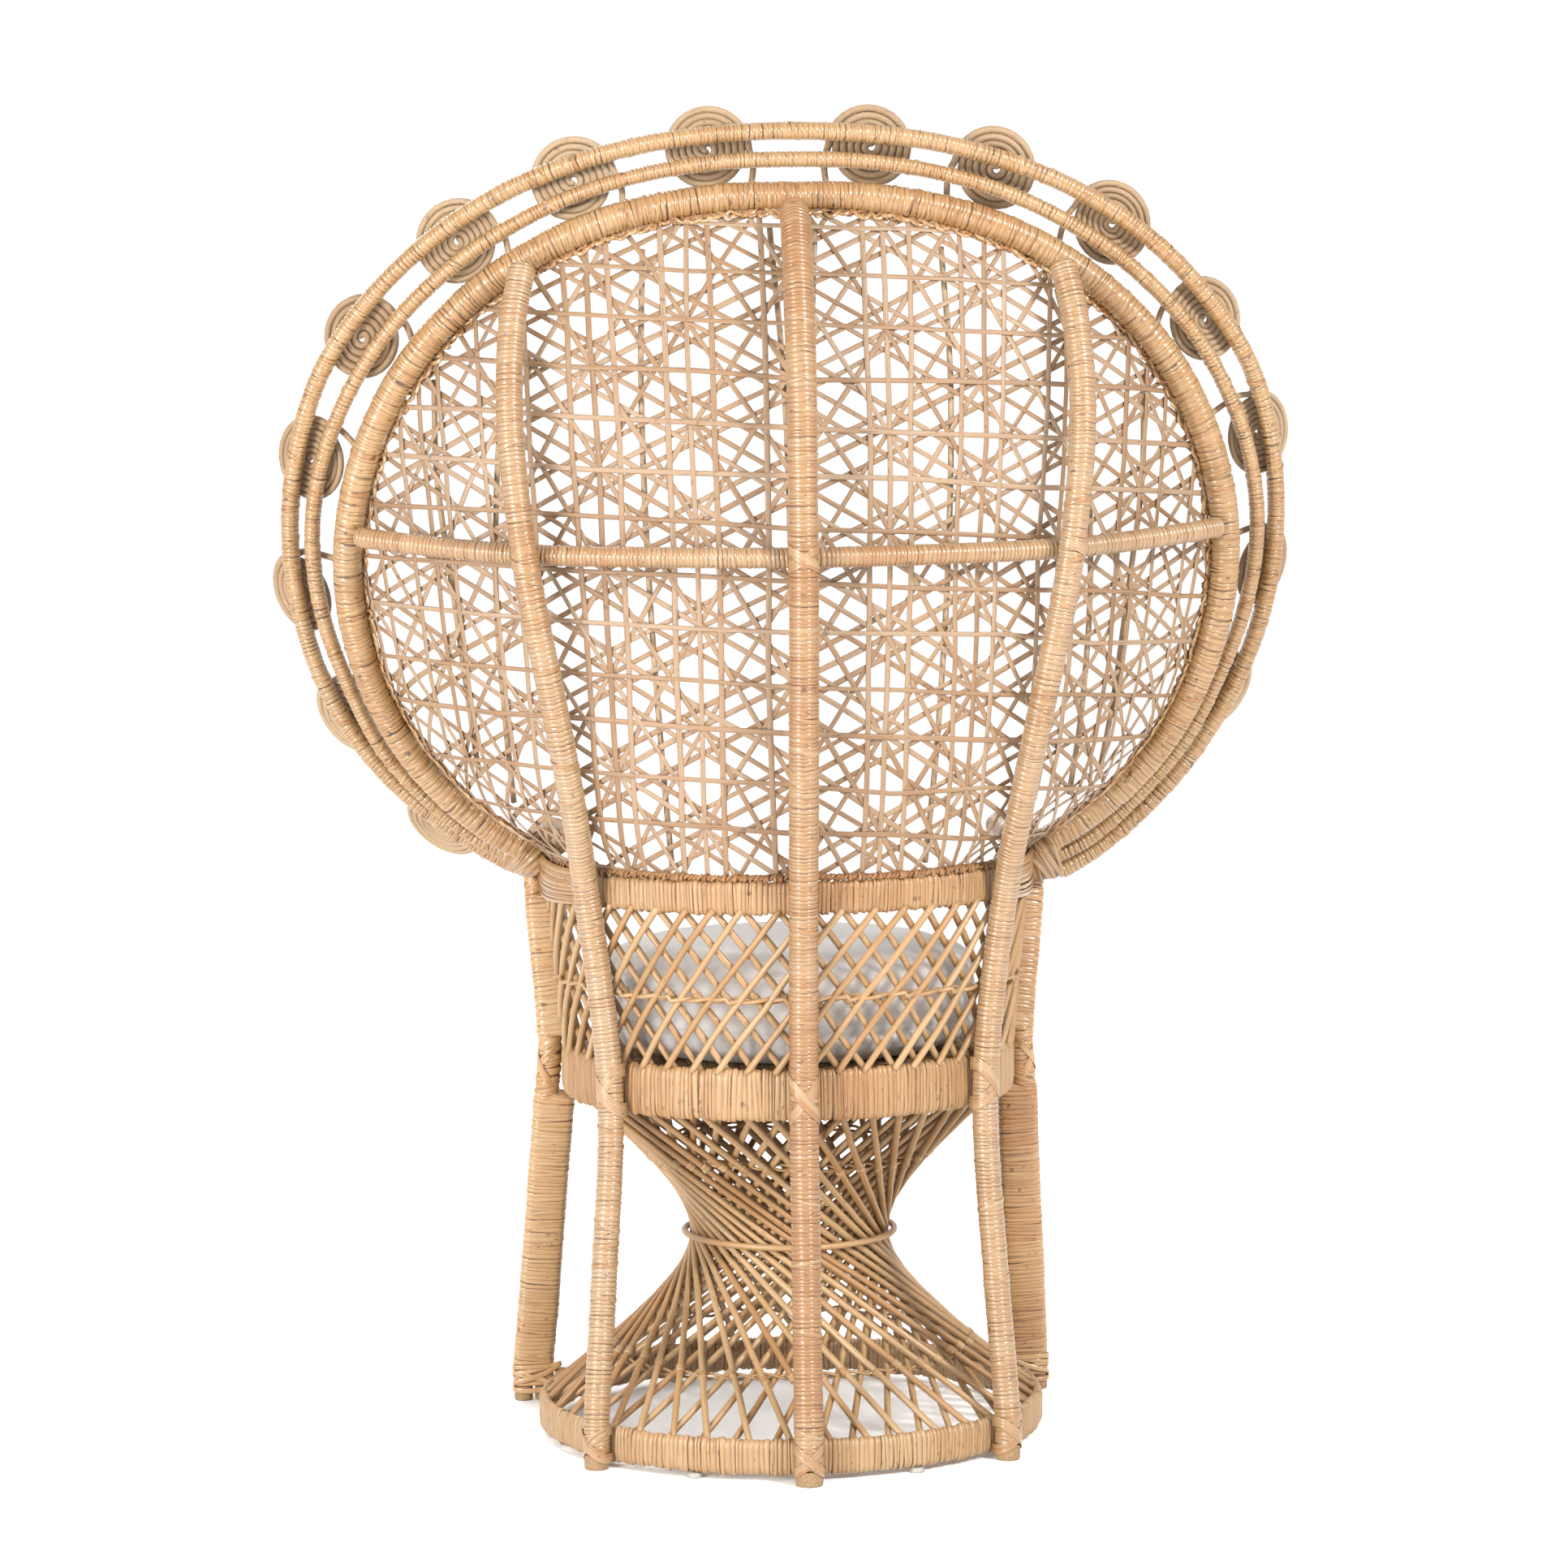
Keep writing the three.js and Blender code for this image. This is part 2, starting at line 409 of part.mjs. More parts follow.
// feet
function footCap(name, x, y, r) {
  const g = new THREE.CylinderGeometry(r, r - 1.2, FOOT_H, 16);
  g.rotateX(Math.PI / 2).translate(x, y, FOOT_H / 2);
  put(base, name, g, END_GRAIN);
}
footCap("foot_cap_centre", POST_CENTRE[0][0], POST_CENTRE[0][1], POST_R - 0.6);
footCap("foot_cap_left", POST_SIDE[0][0], POST_SIDE[0][1], SIDE_POST_R - 0.6);
footCap("foot_cap_right", -POST_SIDE[0][0], POST_SIDE[0][1], SIDE_POST_R - 0.6);
for (const [name, s] of [["foot_cap_front_left", 1], ["foot_cap_front_right", -1]]) {
  const g = new THREE.ExtrudeGeometry(boxSection(45, 21.4, 6), { depth: FOOT_H, steps: 1, bevelEnabled: false });
  g.translate(s * (LEG[LEG.length - 1][0] - LEG_STEP / 2), LEG[LEG.length - 1][1], 0);
  put(base, name, g, END_GRAIN);
}
// wrapped ties from the front feet to the base ring
for (const [name, s] of [["leg_tie_left", 1], ["leg_tie_right", -1]]) {
  put(base, name, tube([[s * 231.6, -161, 30], [s * 245, -161, 30], [s * 258, -161, 30]], 7.5, 8, 2), CANE_WRAP);
}

// loose cushion
const [c0, c1] = CUSHION_Z;
put(soft, "seat_cushion", turned([[0, c0], [CUSHION_R - 12, c0], [CUSHION_R - 3, c0 + 8], [CUSHION_R, c0 + 24], [CUSHION_R, c0 + 90], [CUSHION_R - 4, c0 + 107], [CUSHION_R - 20, c1 - 9], [CUSHION_R - 80, c1 - 2], [0, c1]], 36), CANVAS);

export default chair;
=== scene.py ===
import math

import bpy
import numpy as np
from mathutils import Matrix, Vector


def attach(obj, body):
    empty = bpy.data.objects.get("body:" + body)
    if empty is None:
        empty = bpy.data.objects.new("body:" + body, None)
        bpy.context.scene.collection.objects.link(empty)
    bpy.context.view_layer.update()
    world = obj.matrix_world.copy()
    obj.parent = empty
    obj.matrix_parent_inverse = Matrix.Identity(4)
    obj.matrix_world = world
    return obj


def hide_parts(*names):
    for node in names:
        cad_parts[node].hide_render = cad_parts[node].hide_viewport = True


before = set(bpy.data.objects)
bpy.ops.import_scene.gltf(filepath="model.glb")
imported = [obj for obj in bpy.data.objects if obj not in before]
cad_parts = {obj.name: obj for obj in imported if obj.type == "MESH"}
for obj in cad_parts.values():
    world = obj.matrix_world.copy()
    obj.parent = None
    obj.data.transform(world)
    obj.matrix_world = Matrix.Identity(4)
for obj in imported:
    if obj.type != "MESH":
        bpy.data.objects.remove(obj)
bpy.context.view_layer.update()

# ==== geometry
# The CAD source's own tables, in millimetres and +Z up, before its shift in Y.
import numpy as np

Y_SHIFT = -37.05
BASE_RING_R, BASE_RING_Z, BASE_RING_T = 271, (6, 44), 12
SEAT_RING_R, SEAT_RING_Z, SEAT_RING_T = 242, (376, 431), 11.4
ARM_RING_Z, ARM_RING_T, ARM_HALF, ARM_REAR = (596, 632), 12, 257, 262
WAIST_RING_R, WAIST_RING_Z, WAIST_ROD_R = 117.5, 219, 3.8
POST_R, SIDE_POST_R, BRACE_R, LEG_ROD_R = 15.5, 14, 10.8, 11.2
HOOP_R = (15.5, 8.25, 9.5)
ARMREST_W, ARMREST_H = 46, 34
FOOT_H, GLIDE_R, GLIDE_H = 16, 8, 5.6
DISC_R, DISC_T, STEM_R = 48.5, 7, 3.3
DECK_Z, DECK_R = (413, 424.6), 235.8
CUSHION_R, CUSHION_Z = 215, (425.2, 556)
WEB_T = 6
HOOPS = [np.array(rows, float) for rows in (
    [[281, 22, 644], [318, 27, 666.5], [366.9, 38.8, 707.2], [413.9, 54.3, 765.7], [447.6, 71.3, 834.2], [465.9, 89.9, 909.2], [467.5, 109.1, 986.8], [452.6, 128, 1062.8], [422.4, 145.6, 1133.7], [379, 161, 1196.1], [324.9, 173.8, 1247.7], [263.6, 183.7, 1287.4], [198.3, 190.6, 1315.2], [131.6, 194.8, 1332.3], [65.3, 196.8, 1340.4], [0, 197, 1341.3]],
    [[291, 5.5, 625], [333, 5, 646], [386.8, 12.8, 694], [436.4, 27.6, 755.7], [471.8, 43.4, 828], [498.2, 62, 906.4], [506.4, 82.3, 989.9], [492.7, 105.9, 1072.9], [459.9, 128, 1149.9], [411.7, 147.2, 1217.3], [352.5, 163.1, 1273], [286.2, 175.4, 1316.3], [215.8, 184.3, 1347.4], [143.7, 190, 1367.4], [71.5, 192.9, 1377.5], [0, 193.5, 1379.5]],
    [[299.5, -9.5, 607], [344, -14.5, 632.5], [400.6, -8.6, 682], [453, 4.4, 746], [495.7, 18, 821.8], [521.7, 37.5, 904.4], [530.6, 59.1, 991.8], [521, 87, 1079.9], [492.6, 113.6, 1164.2], [442.1, 136.6, 1237.1], [379.2, 155.6, 1297.4], [307.6, 170.2, 1343.7], [231.3, 180.4, 1376], [153.6, 185.6, 1396.1], [76.4, 188.2, 1406.3], [0, 189, 1409.5]],
)]
POST_CENTRE = np.array([[0, 293.4, 16.4], [0, 293.4, 45], [0, 277, 200], [0, 264.8, 403], [0, 286, 614], [0, 318, 790], [0, 336, 970], [0, 329, 1140], [0, 300, 1240], [0, 263, 1300], [0, 231, 1333]], float)
POST_SIDE = np.array([[219.5, 192.5, 16.4], [219.5, 192.5, 45], [209, 178, 200], [199.8, 172.2, 403], [222.5, 178, 614], [233, 210, 690], [250, 243, 790], [283, 268, 970], [296.5, 257, 1115], [292, 233, 1215], [280, 215.5, 1274]], float)
BRACE = np.array([[0, 309, 970], [140, 289, 971], [283, 240.4, 974], [385, 187, 982], [459, 134, 990]], float)
LEG = np.array([[274.8, -20, 631.6], [274.7, -20, 592], [272.3, -19.5, 557], [269.3, -19, 521], [265.8, -19.5, 485], [263.6, -21, 449], [262.6, -24, 412], [264.2, -27, 394], [266.4, -31, 374], [268.4, -37, 356], [271.1, -54, 316], [274.4, -70, 277], [277.2, -85.5, 238], [280.4, -100.5, 198], [283.7, -115, 159], [286.5, -131, 118], [290, -148, 78], [291.8, -157.5, 57], [293, -164.5, 38], [293, -164.5, 16.4]], float)
LEG_STEP = 23.2
DISCS_LEFT = [(87.5, 1395.3, 43.3, 1341.2), (228.9, 1362, 175, 1322.3), (351.1, 1297.5, 292.8, 1270.4), (452.2, 1197.1, 392.2, 1179.8), (510.7, 1068.6, 450, 1076), (524, 925.8, 467, 962), (475.9, 786.3, 446, 829), (374.1, 664.9, 345.9, 688)]
DISCS_RIGHT = [(84.7, 1396.1, 39.7, 1341.3), (218.9, 1369.9, 164.5, 1325.1), (342.9, 1311, 280.6, 1277.9), (447, 1208.1, 385.6, 1188.2), (512.8, 1086.3, 440, 1100), (524, 940.9, 467.4, 974), (484, 800, 450, 842), (377, 672, 352, 694)]
STAYS = [[(24, 1316), (14, 1150), (9, 950), (6, 760), (5, 640)], [(158, 1292), (163, 1150), (158, 950), (146, 760), (138, 642)], [(284, 1246), (306, 1150), (318, 950), (311, 800), (303, 700)], [(380, 1156), (378, 1050), (362, 920), (348, 800), (340, 727)]]


def curve(points, per=24):
    """A centripetal Catmull-Rom line through the points, as dense points."""
    p = np.asarray(points, float)
    p = np.vstack([2 * p[0] - p[1], p, 2 * p[-1] - p[-2]])
    out = []
    for i in range(1, len(p) - 2):
        x0, x1, x2, x3 = p[i - 1:i + 3]
        d0, d1, d2 = (max(np.linalg.norm(b - a) ** 0.5, 1e-6) for a, b in ((x0, x1), (x1, x2), (x2, x3)))
        t1 = ((x1 - x0) / d0 - (x2 - x0) / (d0 + d1) + (x2 - x1) / d1) * d1
        t2 = ((x2 - x1) / d1 - (x3 - x1) / (d1 + d2) + (x3 - x2) / d2) * d1
        w = np.linspace(0, 1, per, endpoint=False)[:, None]
        out.append(x1 + t1 * w + (-3 * x1 + 3 * x2 - 2 * t1 - t2) * w ** 2 + (2 * x1 - 2 * x2 + t1 + t2) * w ** 3)
    out.append(p[-2][None])
    return np.vstack(out)


def arc(line):
    return np.concatenate([[0], np.cumsum(np.linalg.norm(np.diff(line, axis=0), axis=1))])


def at(line, s):
    """The points at distances s along a dense line."""
    a = arc(line)
    return np.stack([np.interp(s, a, line[:, k]) for k in range(3)], 1)


def unit(v):
    v = np.asarray(v, float)
    return v / np.maximum(np.linalg.norm(v, axis=-1, keepdims=True), 1e-12)


def tangents(line, s, h=3.0):
    a = arc(line)
    return unit(at(line, np.minimum(s + h, a[-1])) - at(line, np.maximum(s - h, 0)))


def sides(t, ref):
    """Two directions square to t, the first as near to ref as can be."""
    ref = np.broadcast_to(np.asarray(ref, float), t.shape)
    n = unit(ref - (ref * t).sum(1, keepdims=True) * t)
    return n, np.cross(t, n)


def mirror(points):
    return np.asarray(points, float) * np.array([-1, 1, 1])


def whole(points):
    return np.vstack([points, mirror(points[:-1])[::-1]])


# ---- the surface that the star weave follows
H0 = HOOPS[0][1:]
WX = (np.concatenate([[600, 632, 648], H0[:, 2]]), np.concatenate([[258, 258.5, 270], H0[:, 0] - HOOP_R[0] + 2]))
WE = (WX[0], np.concatenate([[0, 2, 14], H0[:, 1] - 6]))
WY = tuple(np.array([[600, 258], [632, 259], [700, 264], [800, 274], [900, 282], [970, 284], [1050, 284], [1130, 277], [1200, 263], [1260, 240], [1300, 221], [1341, 197]], float).T)
WP = tuple(np.array([[600, 0.5], [632, 0.5], [750, 0.66], [900, 0.9], [1000, 1.0], [1150, 0.95], [1341, 0.95]], float).T)


def web_y(x, z):
    xh, yh, yc = np.interp(z, *WX), np.interp(z, *WE), np.interp(z, *WY)
    return yh + (yc - yh) * np.maximum(0, 1 - (x / np.maximum(xh, 1e-3)) ** 2) ** np.interp(z, *WP)


def web_normal(x, z):
    """Square to the weave, towards the sitter."""
    n = np.stack([(web_y(x + 2, z) - web_y(x - 2, z)) / 4, -np.ones_like(x), (web_y(x, z + 2) - web_y(x, z - 2)) / 4], -1)
    return unit(n)


class Sheet:
    """Maps woven coordinates (p across and q up, as lengths on the surface) to x and z."""

    def __init__(self, fan=0.0):
        self.z = np.linspace(600, 1341, 149)
        d = 2.0
        yc = np.interp(self.z, *WY)
        self.q = np.concatenate([[0], np.cumsum(np.hypot(np.diff(self.z), np.diff(yc)))])
        self.q -= np.interp(970, self.z, self.q)
        self.t = np.sin(np.linspace(0, np.pi / 2, 161)) ** 1.0
        self.x, self.p = [], []
        for z in self.z:
            x = np.interp(z, *WX) * self.t
            y = web_y(x, np.full_like(x, z))
            self.x.append(x)
            self.p.append(np.concatenate([[0], np.cumsum(np.hypot(np.diff(x), np.diff(y)))]) / (1 + fan * (z - 970) / 1000))
        self.x, self.p = np.array(self.x), np.array(self.p)

    def xz(self, p, q):
        z = np.interp(q, self.q, self.z)
        k = np.clip(np.interp(z, self.z, np.arange(len(self.z))), 0, len(self.z) - 1.001)
        i = k.astype(int)
        f = k - i
        out = np.empty_like(z)
        for n in range(len(z)):
            a = abs(p[n])
            lo = np.interp(a, self.p[i[n]], self.x[i[n]])
            hi = np.interp(a, self.p[i[n] + 1], self.x[i[n] + 1])
            top = self.p[i[n]][-1] * (1 - f[n]) + self.p[i[n] + 1][-1] * f[n]
            out[n] = (lo * (1 - f[n]) + hi * f[n] + max(0.0, a - top)) * (1 if p[n] >= 0 else -1)
        return out, z

    def pq(self, x, z):
        k = min(max(np.interp(z, self.z, np.arange(len(self.z))), 0), len(self.z) - 1.001)
        i, f = int(k), k - int(k)
        a = abs(x)
        p = np.interp(a, self.x[i], self.p[i]) * (1 - f) + np.interp(a, self.x[i + 1], self.p[i + 1]) * f
        return (p if x >= 0 else -p), np.interp(z, self.z, self.q)


# ---- the hourglass base: straight sticks of a hyperboloid
WAIST_R, TAN_UP, TAN_DOWN = 104.5, 1.263, 1.369


def skirt_point(phi, z, turn, r0=WAIST_R):
    """On the stick that crosses the waist at angle phi from the rear, towards image right; turn is 1 or -1."""
    d = WAIST_RING_Z - z
    k = np.where(d > 0, TAN_DOWN, TAN_UP) * d * turn
    return np.stack([-r0 * np.sin(phi) - np.cos(phi) * k, r0 * np.cos(phi) - np.sin(phi) * k, z], -1)


# ---- coiled discs
def nearest_on(points, x, z):
    c = curve(points)
    c = at(c, np.linspace(0, arc(c)[-1], 301))
    i = int(np.argmin((c[:, 0] - x) ** 2 + (c[:, 2] - z) ** 2))
    a, b = c[max(i - 2, 0)], c[min(i + 2, len(c) - 1)]
    return c[i], unit(b - a)


def disc_frame(row):
    cx, cz, sx, sz = row
    (mp, mt), (op, ot), (ip, it) = nearest_on(HOOPS[1], cx, cz), nearest_on(HOOPS[2], cx, cz), nearest_on(HOOPS[0], sx, sz)
    across, along_ = unit(op - mp), unit(mt + ot)
    normal = unit(np.cross(across, along_))
    if normal[1] > 0:
        normal = -normal
    pm, po = mp + normal * HOOP_R[1], op + normal * HOOP_R[2]
    axis = unit(po - pm)
    n = unit(np.cross(axis, along_))
    if n[1] > 0:
        n = -n
    flat = np.array([cx, 0, cz]) - np.array([pm[0], 0, pm[2]])
    k = (flat @ np.array([axis[0], 0, axis[2]])) / (axis[0] ** 2 + axis[2] ** 2)
    centre = pm + axis * k + n * (DISC_T / 2 + 0.9)
    push = 0
    for h, points in enumerate(HOOPS):
        c = curve(points)
        c = at(c, np.linspace(0, arc(c)[-1], 161))
        d = c - centre
        depth = d @ n
        d = d - depth[:, None] * n
        near = np.linalg.norm(d, axis=1) < DISC_R + HOOP_R[h]
        if near.any():
            push = max(push, float((depth[near] + HOOP_R[h] + DISC_T / 2 + 0.8).max()))
    return centre + n * push, n, along_, ip


# ---- the camera, as fitted to the photograph
CAM_C, CAM_YAW, CAM_PITCH, CAM_ROLL, CAM_F = np.array([338.0, 5356.0, 1184.7]), -0.0628, -0.0882, -0.0096, 6081.6


def cam_axes():
    fw = np.array([np.sin(CAM_YAW) * np.cos(CAM_PITCH), -np.cos(CAM_YAW) * np.cos(CAM_PITCH), np.sin(CAM_PITCH)])
    right = unit(np.cross(fw, [0, 0, 1.0]))
    up = np.cross(right, fw)
    c, s = np.cos(CAM_ROLL), np.sin(CAM_ROLL)
    return c * right + s * up, -s * right + c * up, fw
# ==== end geometry


# ==== making meshes
CHAIR = "chair"
ALL = {}


class Heap:
    """Collects pieces of surface and makes one object of them. Millimetres in, metres out."""

    def __init__(self):
        self.v, self.q, self.t, self.c, self.uq, self.ut, self.n = [], [], [], [], [], [], 0

    def add(self, v, q=None, t=None, c=None, uq=None, ut=None):
        self.v.append(v)
        if q is not None and len(q):
            self.q.append(q + self.n)
            self.uq.append(np.zeros((len(q), 4, 2)) if uq is None else uq)
        if t is not None and len(t):
            self.t.append(t + self.n)
            self.ut.append(np.zeros((len(t), 3, 2)) if ut is None else ut)
        self.c.append(np.broadcast_to(np.asarray(c, float), (len(v), 3)))
        self.n += len(v)

    def make(self, name, material, slot, replaces=(), body=CHAIR):
        v = (np.vstack(self.v) + [0, Y_SHIFT, 0]) * 0.001
        q = np.vstack(self.q) if self.q else np.zeros((0, 4), int)
        t = np.vstack(self.t) if self.t else np.zeros((0, 3), int)
        uq = np.vstack(self.uq).reshape(-1, 2) if self.q else np.zeros((0, 2))
        ut = np.vstack(self.ut).reshape(-1, 2) if self.t else np.zeros((0, 2))
        me = bpy.data.meshes.new(name)
        me.vertices.add(len(v))
        me.vertices.foreach_set("co", v.astype(np.float32).ravel())
        loops = np.concatenate([q.ravel(), t.ravel()]).astype(np.int32)
        me.loops.add(len(loops))
        me.loops.foreach_set("vertex_index", loops)
        starts = np.concatenate([np.arange(len(q)) * 4, len(q) * 4 + np.arange(len(t)) * 3]).astype(np.int32)
        me.polygons.add(len(starts))
        me.polygons.foreach_set("loop_start", starts)
        me.polygons.foreach_set("use_smooth", np.ones(len(starts), bool))
        me.update(calc_edges=True)
        uv = me.uv_layers.new(name="strip")
        uv.data.foreach_set("uv", (np.vstack([uq, ut]) * 0.001).astype(np.float32).ravel())
        col = me.attributes.new("wrap", "FLOAT_COLOR", "POINT")
        c = np.ones((len(v), 4), np.float32)
        c[:, :3] = np.vstack(self.c)
        col.data.foreach_set("color", c.ravel())
        me.materials.append(material)
        o = bpy.data.objects.new(name, me)
        bpy.context.scene.collection.objects.link(o)
        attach(o, body)
        if replaces:
            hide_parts(*replaces)
        ALL[name] = (len(q) * 2 + len(t))
        return o


def grid(rows, cols, closed_rows=False, closed_cols=True):
    """Quads of a grid of vertices, and for each its row and column."""
    i = np.arange(rows if closed_rows else rows - 1)
    j = np.arange(cols if closed_cols else cols - 1)
    i, j = np.meshgrid(i, j, indexing="ij")
    i, j = i.ravel(), j.ravel()
    a = i * cols + j
    b = i * cols + (j + 1) % cols
    c = ((i + 1) % rows) * cols + (j + 1) % cols
    d = ((i + 1) % rows) * cols + j
    return np.stack([a, b, c, d], 1), i, j


def circle_section(n):
    a = np.arange(n) / n * 2 * np.pi
    return np.cos(a), np.sin(a), np.cos(a), np.sin(a)


def box_section(w, h, r, nw, nh, nr=3):
    """Rounded rectangle, w along the first side and h along the second; returns points and their normals."""
    out = []
    for cx, cy, a0, n, dx, dy in ((w / 2 - r, h / 2 - r, 0, nw, -1, 0), (-w / 2 + r, h / 2 - r, 90, nh, 0, -1), (-w / 2 + r, -h / 2 + r, 180, nw, 1, 0), (w / 2 - r, -h / 2 + r, 270, nh, 0, 1)):
        for k in range(nr):
            a = math.radians(a0 + 90 * k / (nr - 1))
            out.append((cx + r * math.cos(a), cy + r * math.sin(a), math.cos(a), math.sin(a)))
        a = math.radians(a0 + 90)
        length = (w - 2 * r) if dx else (h - 2 * r)
        for k in range(1, n):
            out.append((cx + r * math.cos(a) + dx * length * k / n, cy + r * math.sin(a) + dy * length * k / n, math.cos(a), math.sin(a)))
    return tuple(np.array(out, float).T)


def barrel_section(w, h, rw, n=4, nr=6):
    """A band's section, w high and h thick, its corners rounded over rw of its height and half its thickness."""
    out = []
    for cx, a0 in ((w / 2 - rw, -90), (-w / 2 + rw, 90)):
        for k in range(nr * 2 - 1):
            a = math.radians(a0 + 180 * k / (nr * 2 - 2))
            nx, ny = math.cos(a) / rw, math.sin(a) / (h / 2)
            m = math.hypot(nx, ny)
            out.append((cx + rw * math.cos(a), h / 2 * math.sin(a), nx / m, ny / m))
        for k in range(1, n):
            y = 1 if cx > 0 else -1
            out.append((cx - (w - 2 * rw) * k / n * y, y * h / 2, 0.0, float(y)))
    return tuple(np.array(out, float).T)


def slow_noise(rng, s, step, low=0.0, high=1.0):
    k = int(s[-1] / step) + 3
    return np.interp(s, (np.arange(k) - 0.5) * step * (1 + 0.0 * s[-1]), rng.uniform(low, high, k))


def wrapped(heap, line, radius=1.0, pitch=4.6, seed=1, ref=(0, 1, 0), section=None, n=26, depth=0.75, caps=(8.0, 8.0), closed=False,
            tone=(0.2, 0.8), slow=(0.0, 1.0), slow_step=90.0, tilt=0.03, fray=0.0, vary=0.17, deep=0.16, spans=None, wave=0.0, lean=(0.0, 0.0)):
    """A rod or a band bound with a flat strip: one low dome per turn and a groove between turns.
    radius: a number, or a function of the distance along; section: points and normals, or a function of the distance."""
    rng = np.random.default_rng(seed)
    length = arc(line)[-1]
    k = max(3, int(round(length / pitch)))
    w = pitch * (1 + vary * np.clip(rng.normal(size=k), -1.9, 1.9))
    w *= length / w.sum()
    b = np.concatenate([[0], np.cumsum(w)])[:-1]
    t = np.array([0, 0.13, 0.37, 0.63, 0.87])
    s = (b[:, None] + w[:, None] * t).ravel()
    gap = 1 + 0.5 * rng.random(k) + (rng.random(k) < deep) * 0.9
    lift = rng.normal(0, 0.13, k) + (rng.random(k) < 0.05) * 0.35
    prof = np.array([-1, -0.2, 0.07, 0.07, -0.2]) * depth
    off = prof[None] + lift[:, None] * np.array([0, 0.8, 1, 1, 0.8])
    off[:, 0] = -depth * gap
    tones = rng.uniform(tone[0], tone[1], k)
    tc = np.repeat(tones, 5).reshape(k, 5)
    # painted shade: the groove row between turns, and faintly each turn's edges, darken towards the groove colour, most
    # where a gap opens wider and deeper
    dark = np.tile(np.array([1, 0.12, 0, 0, 0.12]), (k, 1))
    dark[:, 0] = np.clip(rng.uniform(0.35, 1.05, k) ** 1.3 + (gap > 1.5) * 0.85, 0, 1.5)
    ta = rng.normal(0, tilt, k) + np.interp(b, np.linspace(0, length, 9), rng.normal(0, tilt * 1.2, 9)) + lean[0]
    tb = rng.normal(0, tilt * 0.6, k) + lean[1]
    hair = rng.normal(0, 1, (k, 2)) * fray
    tilt_a = np.repeat(ta, 5).reshape(k, 5)
    tilt_b = np.repeat(tb, 5).reshape(k, 5)
    tilt_a[1:, 0] = (ta[1:] + ta[:-1]) / 2
    tilt_b[1:, 0] = (tb[1:] + tb[:-1]) / 2
    off, tc, dark, tilt_a, tilt_b = (x.ravel() for x in (off, tc, dark, tilt_a, tilt_b))
    frx, fry = np.repeat(hair[:, 0], 5), np.repeat(hair[:, 1], 5)
    if not closed:
        s = np.append(s, length)
        off, tc, dark, tilt_a, tilt_b, frx, fry = (np.append(x, x[-1]) for x in (off, tc, dark, tilt_a, tilt_b, frx, fry))
    sl = slow_noise(rng, np.append(s, length) if closed else s, slow_step, slow[0], slow[1])[:len(s)]
    p = at(line, s)
    if closed:
        big = np.vstack([line[-40:-1], line, line[1:40]])
        e = arc(np.vstack([line[-40:-1], line[:1]]))[-1]
        tg = unit(at(big, s + e + 2) - at(big, s + e - 2))
    else:
        tg = tangents(line, s)
    n1, n2 = sides(tg, ref)
    if section is None:
        sx, sy, nx, ny = circle_section(n)
        r = radius(s) if callable(radius) else np.full(len(s), float(radius))
        X, Y = sx[None] * r[:, None], sy[None] * r[:, None]
        NX, NY = np.broadcast_to(nx, X.shape), np.broadcast_to(ny, X.shape)
    elif callable(section):
        X, Y, NX, NY = section(s)
    else:
        X, Y, NX, NY = (np.broadcast_to(a, (len(s), len(a))) for a in section)
    cols = X.shape[1]
    if wave:  # the binding isn't even round the rod
        ph = rng.uniform(0, 6.28, 3)
        a = np.arange(cols) / cols * 2 * np.pi
        off = off[:, None] + wave * (np.sin(a[None] + s[:, None] / 37 + ph[0]) + np.sin(2 * a[None] - s[:, None] / 61 + ph[1])) * 0.5
    else:
        off = off[:, None]
    X = X + NX * off + NX * np.abs(frx)[:, None] * 0 + np.sign(X) * frx[:, None]
    Y = Y + NY * off + np.sign(Y) * fry[:, None] * 0
    e = np.ones(len(s))
    if not closed:
        for c, d in ((caps[0], s), (caps[1], length - s)):
            if c:
                e = e * np.sqrt(np.clip(1 - (1 - np.clip(d / c, 0, 1)) ** 2, 0.0009, 1))
    X, Y = X * e[:, None], Y * e[:, None]
    v = p[:, None] + n1[:, None] * X[..., None] + n2[:, None] * Y[..., None] + tg[:, None] * (X * tilt_a[:, None] + Y * tilt_b[:, None])[..., None]
    q, i, j = grid(len(s), cols, closed_rows=closed)
    peri = np.concatenate([[0], np.cumsum(np.hypot(np.diff(np.append(X[len(s) // 2], X[len(s) // 2][0])), np.diff(np.append(Y[len(s) // 2], Y[len(s) // 2][0]))))])
    s2 = np.append(s, length) if closed else s
    u0, u1, v0, v1 = peri[j], peri[j + 1], s2[i], s2[i + 1]
    uq = np.stack([np.stack([u0, v0], 1), np.stack([u1, v0], 1), np.stack([u1, v1], 1), np.stack([u0, v1], 1)], 1)
    c = np.stack([np.repeat(tc, cols), np.repeat(dark, cols), np.repeat(sl, cols)], 1)
    v = v.reshape(-1, 3)
    tris = None
    if not closed:
        m = len(v)
        v = np.vstack([v, p[0] - tg[0] * 0.0, p[-1]])
        c = np.vstack([c, c[0], c[m - 1]])
        jj = np.arange(cols)
        first = np.stack([np.full(cols, m), (jj + 1) % cols, jj], 1)
        last = np.stack([np.full(cols, m + 1), m - cols + jj, m - cols + (jj + 1) % cols], 1)
        tris = np.vstack([first, last])
    heap.add(v, q, tris, c, uq)


